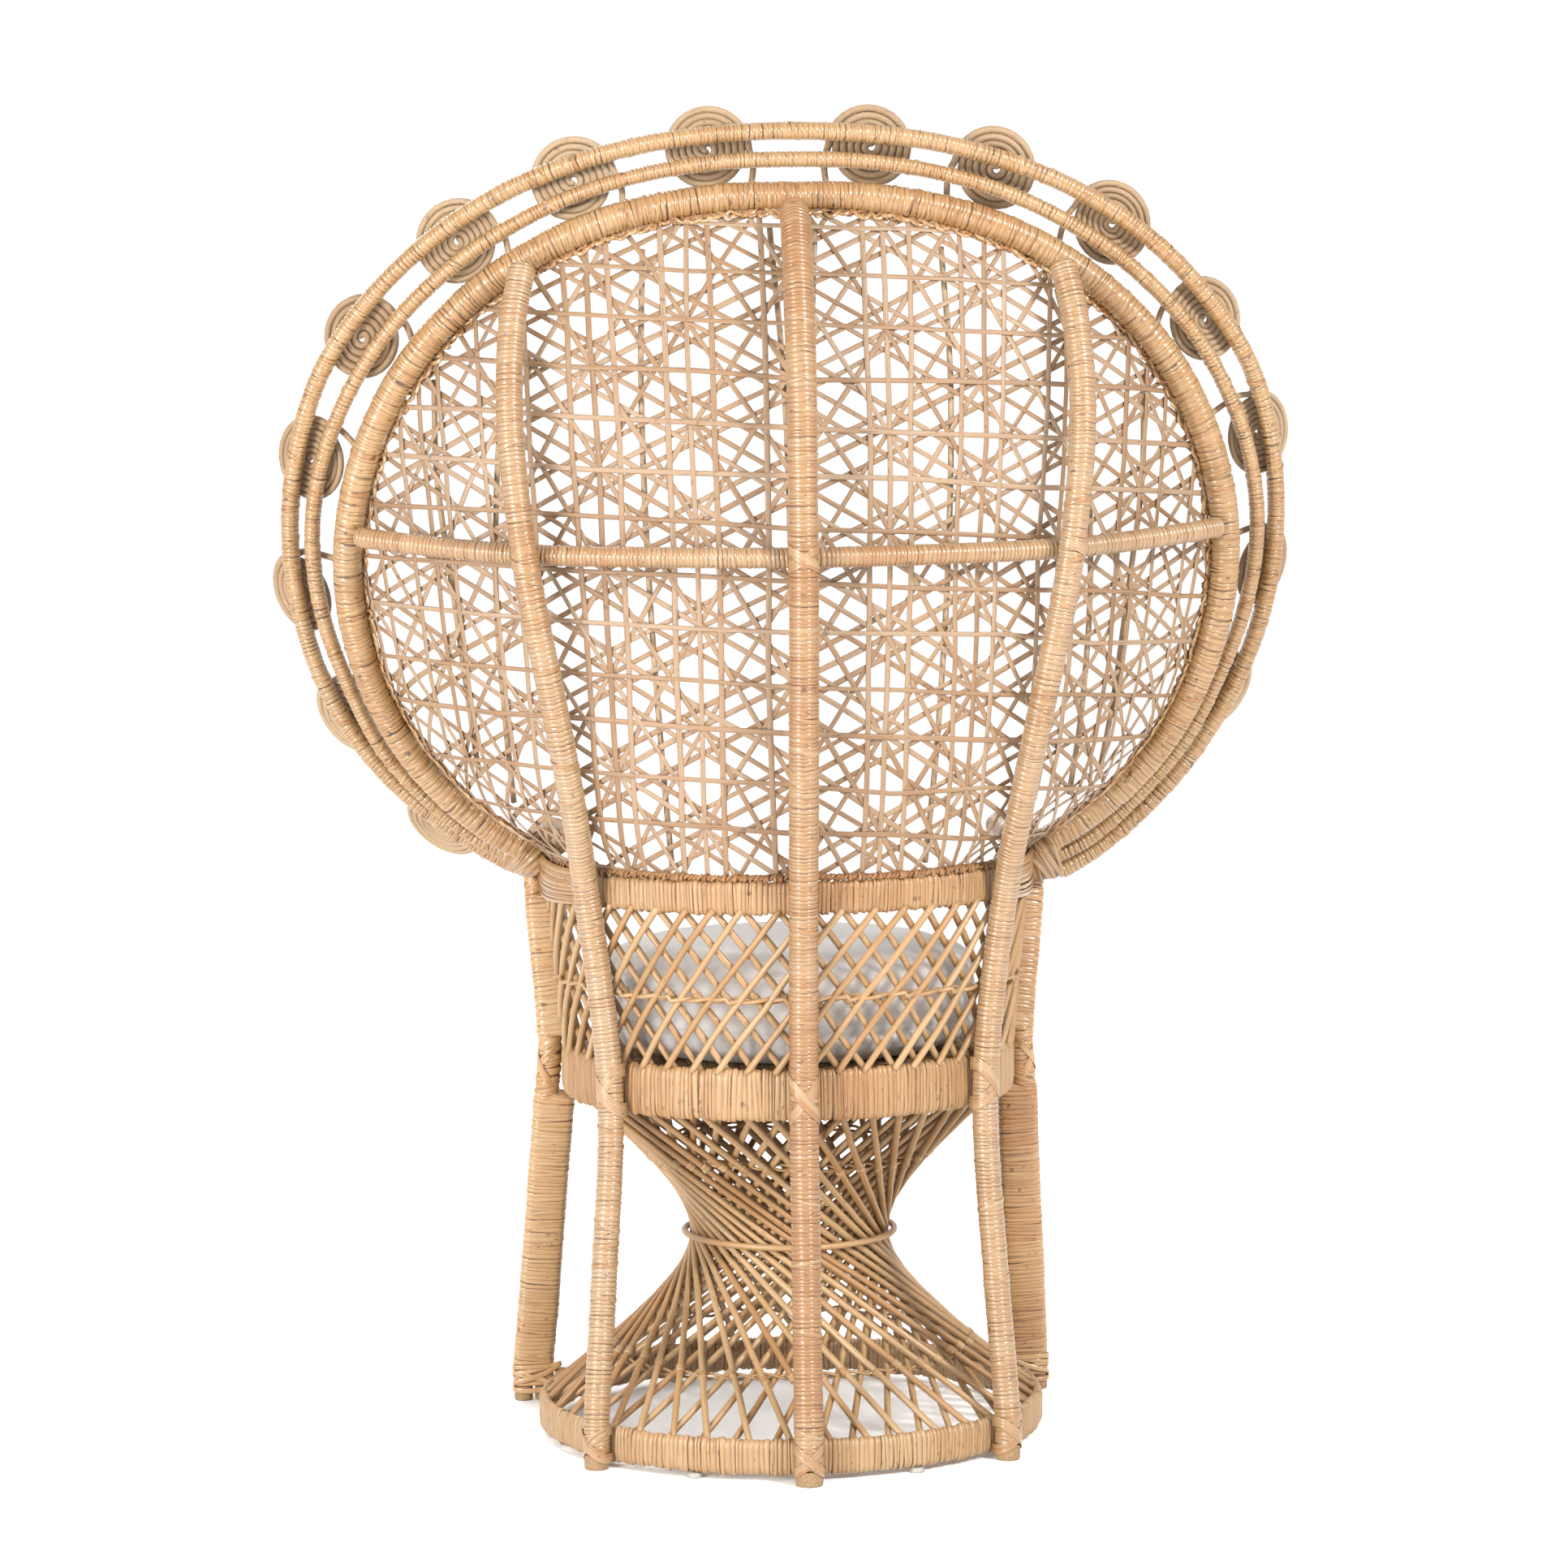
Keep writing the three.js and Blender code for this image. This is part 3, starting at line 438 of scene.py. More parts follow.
def tube(heap, line, r, n=8, ref=(0, 0, 1), tone=0.5, dark=0.0, slow=0.5, caps=True, uoff=0.0, flank_shade=0.0):
    """A plain round stick along the given points. r: a number or one for each point; flank_shade: how much painted
    shade darkens its two sides, seen along ref.
    """
    p = np.asarray(line, float)
    a = arc(p)
    tg = unit(np.gradient(p, axis=0))
    n1, n2 = sides(tg, ref)
    r = np.broadcast_to(np.asarray(r, float), (len(p),))
    ang = np.arange(n) / n * 2 * np.pi
    v = p[:, None] + n1[:, None] * (np.cos(ang)[None] * r[:, None])[..., None] + n2[:, None] * (np.sin(ang)[None] * r[:, None])[..., None]
    q, i, j = grid(len(p), n)
    w = 2 * np.pi * float(r.mean()) / n
    u0, u1, v0, v1 = a[i] + uoff, a[i + 1] + uoff, j * w, (j + 1) * w
    uq = np.stack([np.stack([u0, v0], 1), np.stack([u0, v1], 1), np.stack([u1, v1], 1), np.stack([u1, v0], 1)], 1)
    v = v.reshape(-1, 3)
    tris = None
    if caps:
        m = len(v)
        v = np.vstack([v, p[0] - tg[0] * r[0] * 0.35, p[-1] + tg[-1] * r[-1] * 0.35])
        jj = np.arange(n)
        tris = np.vstack([np.stack([np.full(n, m), (jj + 1) % n, jj], 1), np.stack([np.full(n, m + 1), m - n + jj, m - n + (jj + 1) % n], 1)])
    c = np.stack(np.broadcast_arrays(tone, dark, slow), -1)
    if c.ndim == 2:
        c = np.vstack([np.repeat(c, n, 0), c[:1], c[-1:]]) if caps else np.repeat(c, n, 0)
    # painted shade along the stick's two sides
    if flank_shade:
        c = np.broadcast_to(c, (len(v), 3)).copy()
        c[:len(p) * n, 1] += flank_shade * np.tile(np.abs(np.sin(ang)) ** 5, len(p))
    heap.add(v, q, tris, c, uq)


RIB = np.array([(-0.5, -0.1), (-0.42, 0.38), (-0.15, 0.56), (0.15, 0.56), (0.42, 0.38), (0.5, -0.1), (0.36, -0.42), (-0.36, -0.42)])


def ribbon(heap, line, normal, width=4.4, thick=1.1, tone=0.5, dark=0.0, slow=0.5, uoff=0.0):
    """A flat strip along the points, its domed face towards normal."""
    p = np.asarray(line, float)
    a = arc(p)
    tg = unit(np.gradient(p, axis=0))
    nn, b = sides(tg, normal)
    width = np.broadcast_to(np.asarray(width, float), (len(p),))
    thick = np.broadcast_to(np.asarray(thick, float), (len(p),))
    n = len(RIB)
    v = p[:, None] + b[:, None] * (RIB[None, :, 0] * width[:, None])[..., None] + nn[:, None] * (RIB[None, :, 1] * thick[:, None])[..., None]
    q, i, j = grid(len(p), n)
    across = np.concatenate([[0], np.cumsum(np.hypot(np.diff(np.append(RIB[:, 0], RIB[0, 0])) * width.mean(), np.diff(np.append(RIB[:, 1], RIB[0, 1])) * thick.mean()))])
    u0, u1, v0, v1 = a[i] + uoff, a[i + 1] + uoff, across[j], across[j + 1]
    uq = np.stack([np.stack([u0, v0], 1), np.stack([u0, v1], 1), np.stack([u1, v1], 1), np.stack([u1, v0], 1)], 1)
    v = v.reshape(-1, 3)
    m = len(v)
    v = np.vstack([v, p[0], p[-1]])
    jj = np.arange(n)
    tris = np.vstack([np.stack([np.full(n, m), (jj + 1) % n, jj], 1), np.stack([np.full(n, m + 1), m - n + jj, m - n + (jj + 1) % n], 1)])
    c = np.stack(np.broadcast_arrays(np.asarray(tone, float), np.asarray(dark, float), np.asarray(slow, float)), -1)
    if c.ndim == 2:
        c = np.vstack([np.repeat(c, n, 0), c[:1], c[-1:]])
    heap.add(v, q, tris, c, uq)


# ==== materials
class Nodes:
    def __init__(self, name):
        self.m = bpy.data.materials.new(name)
        self.m.use_nodes = True
        self.t = self.m.node_tree
        self.t.nodes.clear()
        self.out = self.t.nodes.new("ShaderNodeOutputMaterial")
        self.b = self.t.nodes.new("ShaderNodeBsdfPrincipled")
        self.t.links.new(self.b.outputs[0], self.out.inputs[0])

    def put(self, socket, value):
        if isinstance(value, bpy.types.NodeSocket):
            self.t.links.new(value, socket)
        elif value is not None:
            socket.default_value = value

    def math(self, op, a, b=None, c=None, clamp=False):
        n = self.t.nodes.new("ShaderNodeMath")
        n.operation, n.use_clamp = op, clamp
        for k, x in enumerate((a, b, c)):
            self.put(n.inputs[k], x)
        return n.outputs[0]

    def mix(self, f, a, b, blend="MIX"):
        n = self.t.nodes.new("ShaderNodeMix")
        n.data_type, n.blend_type, n.clamp_factor = "RGBA", blend, True
        self.put(n.inputs[0], f)
        self.put(n.inputs[6], a)
        self.put(n.inputs[7], b)
        return n.outputs[2]

    def map(self, x, a, b, lo=0.0, hi=1.0, smooth=False):
        n = self.t.nodes.new("ShaderNodeMapRange")
        n.clamp = True
        if smooth:
            n.interpolation_type = "SMOOTHSTEP"
        for k, y in enumerate((x, a, b, lo, hi)):
            self.put(n.inputs[k], y)
        return n.outputs[0]

    def noise(self, vector, scale, detail=2.0, rough=0.5, distortion=0.0):
        n = self.t.nodes.new("ShaderNodeTexNoise")
        self.put(n.inputs["Vector"], vector)
        n.inputs["Scale"].default_value = scale
        n.inputs["Detail"].default_value = detail
        n.inputs["Roughness"].default_value = rough
        n.inputs["Distortion"].default_value = distortion
        return n.outputs[0]

    def wave(self, vector, scale, direction="X", distortion=0.0):
        n = self.t.nodes.new("ShaderNodeTexWave")
        n.bands_direction = direction
        self.put(n.inputs["Vector"], vector)
        n.inputs["Scale"].default_value = scale
        n.inputs["Distortion"].default_value = distortion
        return n.outputs["Fac"]

    def xyz(self, x, y, z):
        n = self.t.nodes.new("ShaderNodeCombineXYZ")
        for k, v in enumerate((x, y, z)):
            self.put(n.inputs[k], v)
        return n.outputs[0]

    def split(self, vector):
        n = self.t.nodes.new("ShaderNodeSeparateXYZ")
        self.put(n.inputs[0], vector)
        return n.outputs

    def strip(self):
        """u along the fibre and v across it (metres), and the wrap attribute: tone, painted shade in grooves and
        crevices, slow change.
        """
        a = self.t.nodes.new("ShaderNodeAttribute")
        a.attribute_name = "wrap"
        s = self.t.nodes.new("ShaderNodeSeparateColor")
        self.t.links.new(a.outputs["Color"], s.inputs[0])
        u = self.t.nodes.new("ShaderNodeUVMap")
        u.uv_map = "strip"
        uv = self.split(u.outputs[0])
        return uv[0], uv[1], s.outputs[0], s.outputs[1], s.outputs[2]

    def place(self):
        n = self.t.nodes.new("ShaderNodeTexCoord")
        return n.outputs["Object"]

    def bump(self, height, strength=0.3, distance=0.001):
        n = self.t.nodes.new("ShaderNodeBump")
        n.inputs["Strength"].default_value = strength
        n.inputs["Distance"].default_value = distance
        self.put(n.inputs["Height"], height)
        self.t.links.new(n.outputs[0], self.b.inputs["Normal"])
        return n

    def set(self, **values):
        for k, v in values.items():
            self.put(self.b.inputs[k.replace("_", " ")], v)


REFLECT = 0.43


def rgb(r, g, b, k=REFLECT):
    """From the 0 to 255 of a screen colour to the share of light that the surface sends back."""
    return tuple(k * ((c / 255) / 12.92 if c / 255 <= 0.04045 else ((c / 255 + 0.055) / 1.055) ** 2.4) for c in (r, g, b)) + (1.0,)


def cane(name, light, mid, deep, groove, rough=0.36, coat=0.25, streak=0.35, specks=0.5, fibre=(55.0, 1500.0), bump=0.25, gain=(1.0, 1.0, 1.0)):
    k = Nodes(name)
    light, mid, deep = (tuple(x * g for x, g in zip(col, gain)) + (1.0,) for col in (light, mid, deep))
    u, v, tone, dark, slow = k.strip()
    where = k.xyz(k.math("MULTIPLY", u, fibre[0]), k.math("MULTIPLY", v, fibre[1]), k.math("MULTIPLY", tone, 37.0))
    fine = k.noise(where, 1.0, 3.0, 0.6)
    broad = k.noise(k.xyz(k.math("MULTIPLY", u, 14.0), k.math("MULTIPLY", v, 120.0), k.math("MULTIPLY", tone, 19.0)), 1.0, 2.0)
    place = k.place()
    drift = k.noise(place, 7.0, 2.0)
    # from strip to strip, and slowly along the whole piece
    f = k.math("ADD", k.math("MULTIPLY", tone, 0.55), k.math("MULTIPLY", slow, 0.55))
    f = k.math("ADD", f, k.math("MULTIPLY_ADD", drift, 0.7, -0.42))
    f = k.math("ADD", f, k.math("MULTIPLY_ADD", broad, 0.5, -0.25))
    c = k.mix(k.map(f, 0.05, 0.6), light, mid)
    c = k.mix(k.map(f, 0.5, 1.15), c, deep)
    c = k.mix(k.map(fine, 0.35, 0.75, 0.0, streak), c, deep, "MIX")
    spot = k.noise(k.xyz(k.math("MULTIPLY", u, 110.0), k.math("MULTIPLY", v, 330.0), k.math("MULTIPLY", tone, 53.0)), 1.0, 1.0)
    c = k.mix(k.map(spot, 0.67, 0.75, 0.0, specks), c, groove)
    scar = k.noise(k.xyz(k.math("MULTIPLY", u, 25.0), k.math("MULTIPLY", v, 900.0), k.math("MULTIPLY", tone, 71.0)), 1.0, 0.0)
    c = k.mix(k.map(scar, 0.70, 0.78, 0.0, specks), c, groove)
    knot = k.noise(place, 88.0, 1.0)
    c = k.mix(k.map(knot, 0.73, 0.79, 0.0, specks), c, groove)
    # painted shade: grooves and crevices darken towards the groove colour, less where a groove closes up here and there
    shut = k.noise(place, 42.0, 2.0)
    gap = k.math("MULTIPLY", dark, k.map(shut, 0.36, 0.62, 0.3, 1.0))
    c = k.mix(k.map(gap, 0.1, 1.0, 0.0, 0.95), c, groove)
    r = k.math("ADD", k.map(fine, 0.3, 0.8, rough - 0.05, rough + 0.14), k.map(dark, 0.2, 1.0, 0.0, 0.35), clamp=True)
    k.set(Base_Color=c, Roughness=r, Coat_Weight=coat, Coat_Roughness=0.16, IOR=1.5)
    k.bump(k.math("ADD", fine, k.math("MULTIPLY", broad, 0.5)), bump, 0.0004)
    return k.m


WRAP = cane("cane_peel", rgb(246, 214, 168), rgb(234, 188, 132), rgb(210, 146, 82), rgb(100, 54, 22), coat=0.5, specks=0.7, gain=(0.80, 0.75, 0.73))
WRAP_HOOP = cane("cane_peel_hoop", rgb(244, 206, 152), rgb(230, 180, 118), rgb(202, 138, 74), rgb(84, 42, 16), coat=0.5, rough=0.36, specks=0.75, gain=(0.84, 0.78, 0.71))
WRAP_BAND = cane("cane_peel_band", rgb(248, 212, 162), rgb(236, 190, 134), rgb(206, 148, 88), rgb(80, 42, 18), rough=0.44, coat=0.12, specks=0.6, gain=(0.84, 0.79, 0.74))
# painted light: the legs' copy of the cane peel has a higher gain than the other peels, so the legs come out paler and
# read as brightly lit
WRAP_LEG_PAINTED_LIGHT = cane("cane_peel_leg_painted_light", rgb(250, 206, 150), rgb(240, 186, 124), rgb(214, 146, 82), rgb(96, 48, 20), rough=0.33, coat=0.5, specks=0.7, gain=(0.97, 0.97, 0.95))
STRIP = cane("cane_flat_strip", rgb(240, 202, 162), rgb(222, 176, 130), rgb(188, 138, 92), rgb(96, 56, 30), rough=0.55, coat=0.0, streak=0.4, fibre=(30.0, 1700.0), bump=0.35, gain=(0.76, 0.77, 0.80))
LACE = cane("cane_lace", rgb(244, 208, 156), rgb(228, 178, 118), rgb(190, 132, 74), rgb(70, 36, 16), rough=0.5, coat=0.0, streak=0.5, fibre=(40.0, 1600.0), gain=(0.72, 0.60, 0.52))
STICK = cane("cane_round_stick", rgb(238, 200, 154), rgb(222, 176, 124), rgb(190, 136, 84), rgb(96, 58, 32), rough=0.45, coat=0.12, streak=0.35, specks=0.35, fibre=(18.0, 1400.0), gain=(0.98, 0.95, 0.86))
CORE = cane("cane_bare_core", rgb(246, 216, 178), rgb(230, 196, 156), rgb(196, 156, 118), rgb(84, 54, 34), rough=0.6, coat=0.0, streak=0.4, specks=0.4, fibre=(25.0, 1400.0), bump=0.35, gain=(0.90, 0.88, 0.84))
DECK = cane("cane_deck_strip", rgb(222, 184, 136), rgb(204, 160, 112), rgb(172, 124, 78), rgb(84, 52, 28), rough=0.55, coat=0.0)


def end_grain():
    k = Nodes("cane_end_grain")
    p = k.place()
    n = k.noise(p, 900.0, 2.0)
    big = k.noise(p, 60.0, 3.0)
    c = k.mix(k.map(n, 0.35, 0.7), rgb(216, 182, 136), rgb(164, 120, 76))
    c = k.mix(k.map(big, 0.55, 0.8, 0, 0.6), c, rgb(120, 86, 56))
    k.set(Base_Color=c, Roughness=k.map(n, 0.2, 0.8, 0.6, 0.85))
    k.bump(n, 0.5, 0.0005)
    return k.m


def plastic():
    k = Nodes("pale_plastic")
    p = k.place()
    n = k.noise(p, 400.0, 3.0)
    big = k.noise(p, 40.0, 2.0)
    c = k.mix(k.map(big, 0.3, 0.75), rgb(226, 222, 212), rgb(204, 198, 184))
    k.set(Base_Color=c, Roughness=k.map(n, 0.3, 0.8, 0.34, 0.52))
    k.bump(n, 0.15, 0.0003)
    return k.m


def canvas():
    k = Nodes("off_white_canvas")
    p = k.place()
    s = k.split(p)
    warp = k.noise(k.xyz(k.math("MULTIPLY", s[0], 1250.0), k.math("MULTIPLY", s[1], 90.0), k.math("MULTIPLY", s[2], 1250.0)), 1.0, 2.0)
    weft = k.noise(k.xyz(k.math("MULTIPLY", s[0], 90.0), k.math("MULTIPLY", s[1], 1250.0), k.math("MULTIPLY", s[2], 1250.0)), 1.0, 2.0)
    weave = k.math("MULTIPLY", k.math("ADD", warp, weft), 0.5)
    big = k.noise(p, 9.0, 3.0)
    slub = k.noise(p, 160.0, 2.0)
    c = k.mix(k.map(weave, 0.32, 0.68), rgb(232, 225, 220, 0.53), rgb(252, 248, 245, 0.53))
    c = k.mix(k.map(big, 0.4, 0.75, 0, 0.35), c, rgb(228, 220, 212, 0.58))
    c = k.mix(k.map(slub, 0.68, 0.8, 0, 0.3), c, rgb(190, 180, 166, 0.58))
    k.set(Base_Color=c, Roughness=k.map(weave, 0.2, 0.8, 0.82, 0.95), Sheen_Weight=0.25, Sheen_Roughness=0.5)
    k.bump(k.math("ADD", weave, k.math("MULTIPLY", slub, 0.3)), 0.6, 0.0006)
    return k.m


END, PLASTIC, CANVAS = end_grain(), plastic(), canvas()

# ==== pieces
# ---- the three rear posts and the brace
for name, pts, r, pitch, seed, tone, slow in (
    ("post_centre", POST_CENTRE, POST_R, 4.5, 11, (0.25, 0.9), (0.15, 1.2)),
    ("post_left", POST_SIDE, SIDE_POST_R, 4.6, 12, (0.1, 0.7), (0.0, 0.8)),
    ("post_right", mirror(POST_SIDE), SIDE_POST_R, 4.6, 13, (0.0, 0.6), (0.0, 0.85)),
):
    h = Heap()
    wrapped(h, curve(pts), r, pitch, seed, ref=(0, 1, 0), n=28, caps=(2.0, 9.0), tone=tone, slow=slow, slow_step=70, wave=0.25)
    h.make(name + "_bound", WRAP, "wrapped_cane", [name])
h = Heap()
wrapped(h, curve(np.vstack([mirror(BRACE)[::-1][:-1], BRACE])), BRACE_R, 4.6, 14, ref=(0, 0, 1), n=24, caps=(7, 7), tone=(0.1, 0.75), slow=(0.1, 1.0), lean=(0.0, 0.06))
h.make("brace_bound", WRAP, "wrapped_cane", ["back_brace"])

# ---- hoops; on the left the two thin ones close up on the thick one sooner, towards the arm
SHUT = {1: ((-1, 0, 8), (-2, 0, 7), (-1, 0, 3)), 2: ((-4, 0, 17), (-6, 0, 16), (-5, 0, 8), (-2, 0, 3))}
LEFT_HOOPS = [h.copy() for h in HOOPS]
for i, rows in SHUT.items():
    for k, row in enumerate(rows):
        LEFT_HOOPS[i][k] += row


def hoop_line(i):
    return curve(np.vstack([LEFT_HOOPS[i], mirror(HOOPS[i][:-1])[::-1]]))


for i, (name, pitch, n, seed) in enumerate((("hoop_inner", 4.5, 22, 21), ("hoop_middle", 4.4, 16, 22), ("hoop_outer", 4.5, 18, 23))):
    h = Heap()
    wrapped(h, hoop_line(i), HOOP_R[i], pitch, seed, ref=(0, 1, 0), n=n, caps=(7, 7), tone=(0.0, 0.65), slow=(0.0, 0.75), slow_step=60, tilt=0.085, vary=0.22, deep=0.26, wave=0.4)
    h.make(name + "_bound", WRAP_HOOP, "wrapped_cane", [name])

# ---- where the three hoops run together on to the arm, one binding goes round all of them
def beyond(points, far):
    c = curve(points)
    d = unit(c[0] - c[4])
    return np.vstack([(c[0] + d * k) for k in np.linspace(far, 2, 8)] + [c])


def bundle(s, reach, start, seed):
    """A binding round the three hoops' lower ends, from start mm before the middle hoop's end to reach mm past it."""
    lines = [beyond(h[:6], 60) * [s, 1, 1] for h in (LEFT_HOOPS if s > 0 else HOOPS)]
    mid = at(lines[1], np.linspace(60 - reach, 60 + start, 60))[::-1]
    lo = arc(mid)

    def section(q):
        p = at(mid, q)
        t = tangents(mid, q)
        n1, n2 = sides(t, (0, 0, 1))
        a = np.arange(44) / 44 * 2 * np.pi
        nx, ny = np.cos(a), np.sin(a)
        best = np.full((len(q), 44), -1e9)
        X, Y = np.zeros_like(best), np.zeros_like(best)
        squeeze = np.interp(q, (0, lo[-1] - reach, lo[-1]), (1.0, 0.74, 0.4))
        for line, r in zip(lines, HOOP_R):
            fine = at(line, np.arange(0, min(170.0, arc(line)[-1]), 1.0))
            k = np.argmin(np.abs(((fine[None] - p[:, None]) * t[:, None]).sum(-1)), 1)
            c = fine[k] - p
            cx, cy = (c * n1).sum(1) * squeeze, (c * n2).sum(1) * squeeze
            sup = cx[:, None] * nx + cy[:, None] * ny + (r + 0.9)
            hit = sup > best
            best = np.where(hit, sup, best)
            X = np.where(hit, cx[:, None] + nx * (r + 0.9), X)
            Y = np.where(hit, cy[:, None] + ny * (r + 0.9), Y)
        return X, Y, np.broadcast_to(nx, X.shape), np.broadcast_to(ny, X.shape)
    h = Heap()
    wrapped(h, mid, pitch=4.8, seed=seed, ref=(0, 0, 1), section=section, caps=(7, 14), tone=(0.0, 0.9), slow=(0.2, 0.9), slow_step=25, tilt=0.12, deep=0.35, depth=0.9, lean=(0.22, 0.0))
    return h


for side, s in (("left", 1), ("right", -1)):
    h = bundle(s, 30, 12, 24 + s)
    # strips that run off the hoops and drape over the arm band
    rng = np.random.default_rng(440 + s)
    for i in range(12):
        t = np.linspace(0, 1, 17)
        th = np.radians(-3 + (35 + rng.normal(0, 1.5)) * t ** (1.35 + 0.05 * i))
        z_end = 632 - 3.0 * i + rng.normal(0, 0.8)
        zz = z_end + (653 - 1.5 * i - z_end) * (1 - np.sin(t * np.pi / 2) ** (0.8 - 0.02 * i)) - (1.0 + 0.75 * i) * np.sin(np.pi * t ** 0.8)
        out = ARM_RING_T / 2 + 1.5 + 5.5 * (1 - t) ** 2 + 2.2 * np.sin(np.pi * t) + 0.5 * (i % 3)
        p = np.stack([(ARM_HALF + out) * np.cos(th), (ARM_REAR + out) * np.sin(th), zz], 1) * [s, 1, 1]
        nrm = np.stack([np.cos(th), np.sin(th), 0.02 * (zz - 612)], 1) * [s, 1, 1]
        ribbon(h, p, nrm, np.interp(t, (0, 0.12, 0.85, 1), (3.4, 5.2, 4.6, 3.6)), 1.1, tone=rng.random(), slow=rng.uniform(0.0, 0.9), uoff=rng.random() * 900)
    h.make(f"hoop_ends_{side}_bound", WRAP_HOOP, "wrapped_cane")

# ---- rings and arm band
a = np.linspace(0, np.pi, 181)
z = sum(ARM_RING_Z) / 2
arm_line = np.vstack([[[ARM_HALF - 3, -118, z], [ARM_HALF - 0.6, -60, z]], np.stack([ARM_HALF * np.cos(a), ARM_REAR * np.sin(a), np.full_like(a, z)], 1), [[-(ARM_HALF - 0.6), -60, z], [-(ARM_HALF - 3), -118, z]]])
h = Heap()
wrapped(h, arm_line, pitch=4.6, seed=31, ref=(0, 0, 1), section=barrel_section(36, ARM_RING_T, 8), caps=(5, 5), tone=(0.2, 0.9), slow=(0.1, 1.0), slow_step=50, vary=0.28, deep=0.3, fray=0.7, depth=0.95)
h.make("arm_band_bound", WRAP_BAND, "wrapped_cane", ["arm_ring"])


def circle(r, z, n=721):
    a = np.linspace(0, 2 * np.pi, n)
    return np.stack([r * np.cos(a), r * np.sin(a), np.full(n, float(z))], 1)


h = Heap()
# painted shade: the seat ring's strips get deeper tones than the other bands'
wrapped(h, circle(SEAT_RING_R, sum(SEAT_RING_Z) / 2), pitch=5.2, seed=32, ref=(0, 0, 1), section=barrel_section(55, SEAT_RING_T, 13.5, 5), closed=True, tone=(0.25, 1.0), slow=(0.1, 1.25), slow_step=50, vary=0.28, deep=0.3, fray=0.8, depth=0.95)
h.make("seat_ring_bound", WRAP_BAND, "wrapped_cane", ["seat_ring"])
h = Heap()
# painted light: the base ring's strips get paler tones than the other bands'
wrapped(h, circle(BASE_RING_R, sum(BASE_RING_Z) / 2), pitch=5.0, seed=33, ref=(0, 0, 1), section=barrel_section(38, BASE_RING_T, 10), closed=True, tone=(0.0, 0.7), slow=(0.0, 0.6), slow_step=50, vary=0.28, deep=0.3, fray=0.7, depth=0.95)
h.make("base_ring_bound", WRAP_BAND, "wrapped_cane", ["base_ring"])

# ---- armrests
z = ARM_RING_Z[1] + 0.4 + ARMREST_H / 2 + 0.6
for side, s in (("left", 1), ("right", -1)):
    pts = np.array([[ARM_HALF + 1, 2, z], [ARM_HALF, -50, z], [ARM_HALF - 2, -100, z], [ARM_HALF - 3, -124, z]], float) * [s, 1, 1]
    sx, sy, nx, ny = circle_section(30)
    sec = (sx * ARMREST_H / 2, sy * ARMREST_W / 2, nx, ny)
    h = Heap()
    wrapped(h, curve(pts), pitch=4.8, seed=41 + s, ref=(0, 0, 1), section=sec, caps=(9, 9), tone=(0.1, 0.8), slow=(0, 0.8), slow_step=40)
    h.make(f"armrest_{side}_bound", WRAP, "wrapped_cane", [f"armrest_{side}"])


# ---- front legs: two rods bound together, the outer one alone where a ring runs past
def part_of(line, z0, z1):
    keep = line[(line[:, 2] >= z0) & (line[:, 2] <= z1)]
    return keep


a = (np.arange(30) + 0.5) / 30 * 2 * np.pi
PAIR = (np.where(np.cos(a) > 0, 1, -1) * (LEG_STEP / 2) * np.minimum(1, np.abs(np.cos(a)) * 2.2) + np.cos(a) * LEG_ROD_R, np.sin(a) * LEG_ROD_R * (1 - 0.07 * (1 - np.abs(np.cos(a)))), np.cos(a), np.sin(a))

